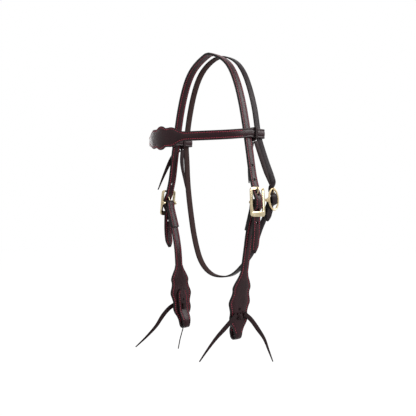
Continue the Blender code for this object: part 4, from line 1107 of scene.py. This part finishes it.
line = even(np.array(line), 0.0014)
run = lengths_along(line)
share = np.abs(run - run[-1] / 2) / (browband_scallop_length / 2)
widths = browband_scallop_height * outline(browband_outline, share)
halves = np.where(share < 1, np.maximum(widths, browband_width), browband_width) / 2
across = (0, 0, 1)
insets = np.interp(share, (0.88, 1.0), (seam_inset, 0.0040))
band = sweep("browband_leather", line, across, halves, browband_thickness, insets)
finish_piece(band, burgundy, "forehead_band", "strap_leather", "browband")
front_start = run[np.flatnonzero((line[:, 1] < front_seam_starts) & (run > run[-1] * 0.2))[0]]
far_lap = (run[-1] - sewn_lap[1], run[-1] - sewn_lap[0])
spans = [sewn_lap, (front_start, run[-1] - front_start), far_lap]
seams = sew("browband_thread", line, across, halves, browband_thickness, spans, insets)
finish_piece(seams, wine_thread, "forehead_band", "strap_leather")


# Browband ties: a lace of latigo wraps the band upright between the two side straps, crosses under
# it and is pulled into a small knot, which keeps the loop shut on both straps.
for side, sign in sides.items():
    dense = even(np.array(plan), 0.0003)
    near = dense[np.abs(dense[:, 1] - valley) < 0.0028]
    middle = (near[:, 0].min() + near[:, 0].max()) / 2
    room = browband_thickness * 0.53 + gap + lace_thickness / 2
    inner = near[near[:, 0] < middle, 0].min() - room
    outer = near[near[:, 0] > middle, 0].max() + room
    high = browband_width / 2 + gap + lace_thickness / 2
    middle = (inner + outer) / 2
    c = lace_thickness
    path = [(middle - c, -high)]
    corners = ((inner + c, c - high), (inner + c, high - c), (outer - c, high - c), (outer - c, c - high))
    for k, corner in enumerate(corners):
        path += arc(corner, c, -(k + 1) * math.pi / 2, -(k + 2) * math.pi / 2, 5)
    path.append((middle + c, -high))
    line = even(np.array([(sign * x, valley, z - browband_drop) for x, z in path]), 0.0007)
    name = f"{side}_browband_wrap"
    wrap = sweep(name, line, (0, -sign, 0), 0.0025, lace_thickness, doubled=False)
    finish_piece(wrap, latigo, "forehead_band", "lace_leather", f"{side}_browband_tie_knot")
    knot_high = 0.0031
    foot = -browband_drop - high + lace_thickness * 0.95 - gap - knot_high
    across = (outer - inner) / 2 * 0.9
    middle = (sign * middle, valley, foot)
    knot = bead(f"{side}_browband_knot", (across, 0, 0), (0, 0.0032, 0), (0, 0, knot_high), middle)
    finish_piece(knot, latigo, "forehead_band", "lace_leather")


# Stage: white paper under and behind the headstall, a large soft light from the right that draws the
# sheen down the straps' outer faces, and weaker ones in front, beyond the browband and overhead.
floor_height = -0.62
floor_half = 4.0
lamp_distance = 1.8


def whiten(n, plain, white, share):
    """Shows a plain surface or sky as white to rays from the camera, from metal and through glass."""
    path = n.add("LightPath")
    seen = n.sum(path.outputs["Is Camera Ray"], path.outputs["Is Glossy Ray"])
    seen = n.sum(seen, path.outputs["Is Transmission Ray"])
    mix = n.add("MixShader")
    n.link(n.ramp(seen, 0.0, 1.0, 0.0, share), mix.inputs[0])
    n.link(plain.outputs[0], mix.inputs[1])
    n.link(white.outputs[0], mix.inputs[2])
    out = next(x for x in n.tree.nodes if x.type.startswith("OUTPUT_"))
    n.link(mix.outputs[0], out.inputs["Surface"])
    return n.owner


pure_white = (1, 1, 1, 1)
paper = Nodes(bpy.data.materials.new("white_paper"))
paper.shader.inputs["Base Color"].default_value = (0.9, 0.9, 0.9, 1)
paper.shader.inputs["Roughness"].default_value = 0.9
glow = paper.add("Emission", Color=pure_white, Strength=1.06)
bm = bmesh.new()
bmesh.ops.create_grid(bm, x_segments=1, y_segments=1, size=floor_half)
bmesh.ops.translate(bm, verts=bm.verts, vec=(0, 0, floor_height))
floor = mesh_piece("floor", bm)
floor.data.materials.append(whiten(paper, paper.shader, glow, 0.9))
sky = Nodes(bpy.data.worlds.new("studio"))
dim = sky.tree.nodes["Background"]
dim.inputs["Color"].default_value = pure_white
dim.inputs["Strength"].default_value = 0.45
white = sky.add("Background", Color=pure_white, Strength=1.0)
bpy.context.scene.world = whiten(sky, dim, white, 1.0)


def softbox(name, azimuth, elevation, size, power):
    a, e = math.radians(azimuth), math.radians(elevation)
    way = Vector((math.sin(a) * math.cos(e), -math.cos(a) * math.cos(e), math.sin(e)))
    data = bpy.data.lights.new(name, "AREA")
    data.size = size
    data.energy = power
    lamp = link(bpy.data.objects.new(name, data))
    lamp.location = way * lamp_distance + Vector((0, 0, view_height))
    lamp.rotation_euler = (-way).to_track_quat("-Z", "Y").to_euler()


softbox("side", 134, 30, 1.05, 30)
softbox("front", 10, 35, 1.6, 7)
softbox("brow", -100, 8, 0.8, 4)
softbox("over", 60, 75, 1.6, 5)
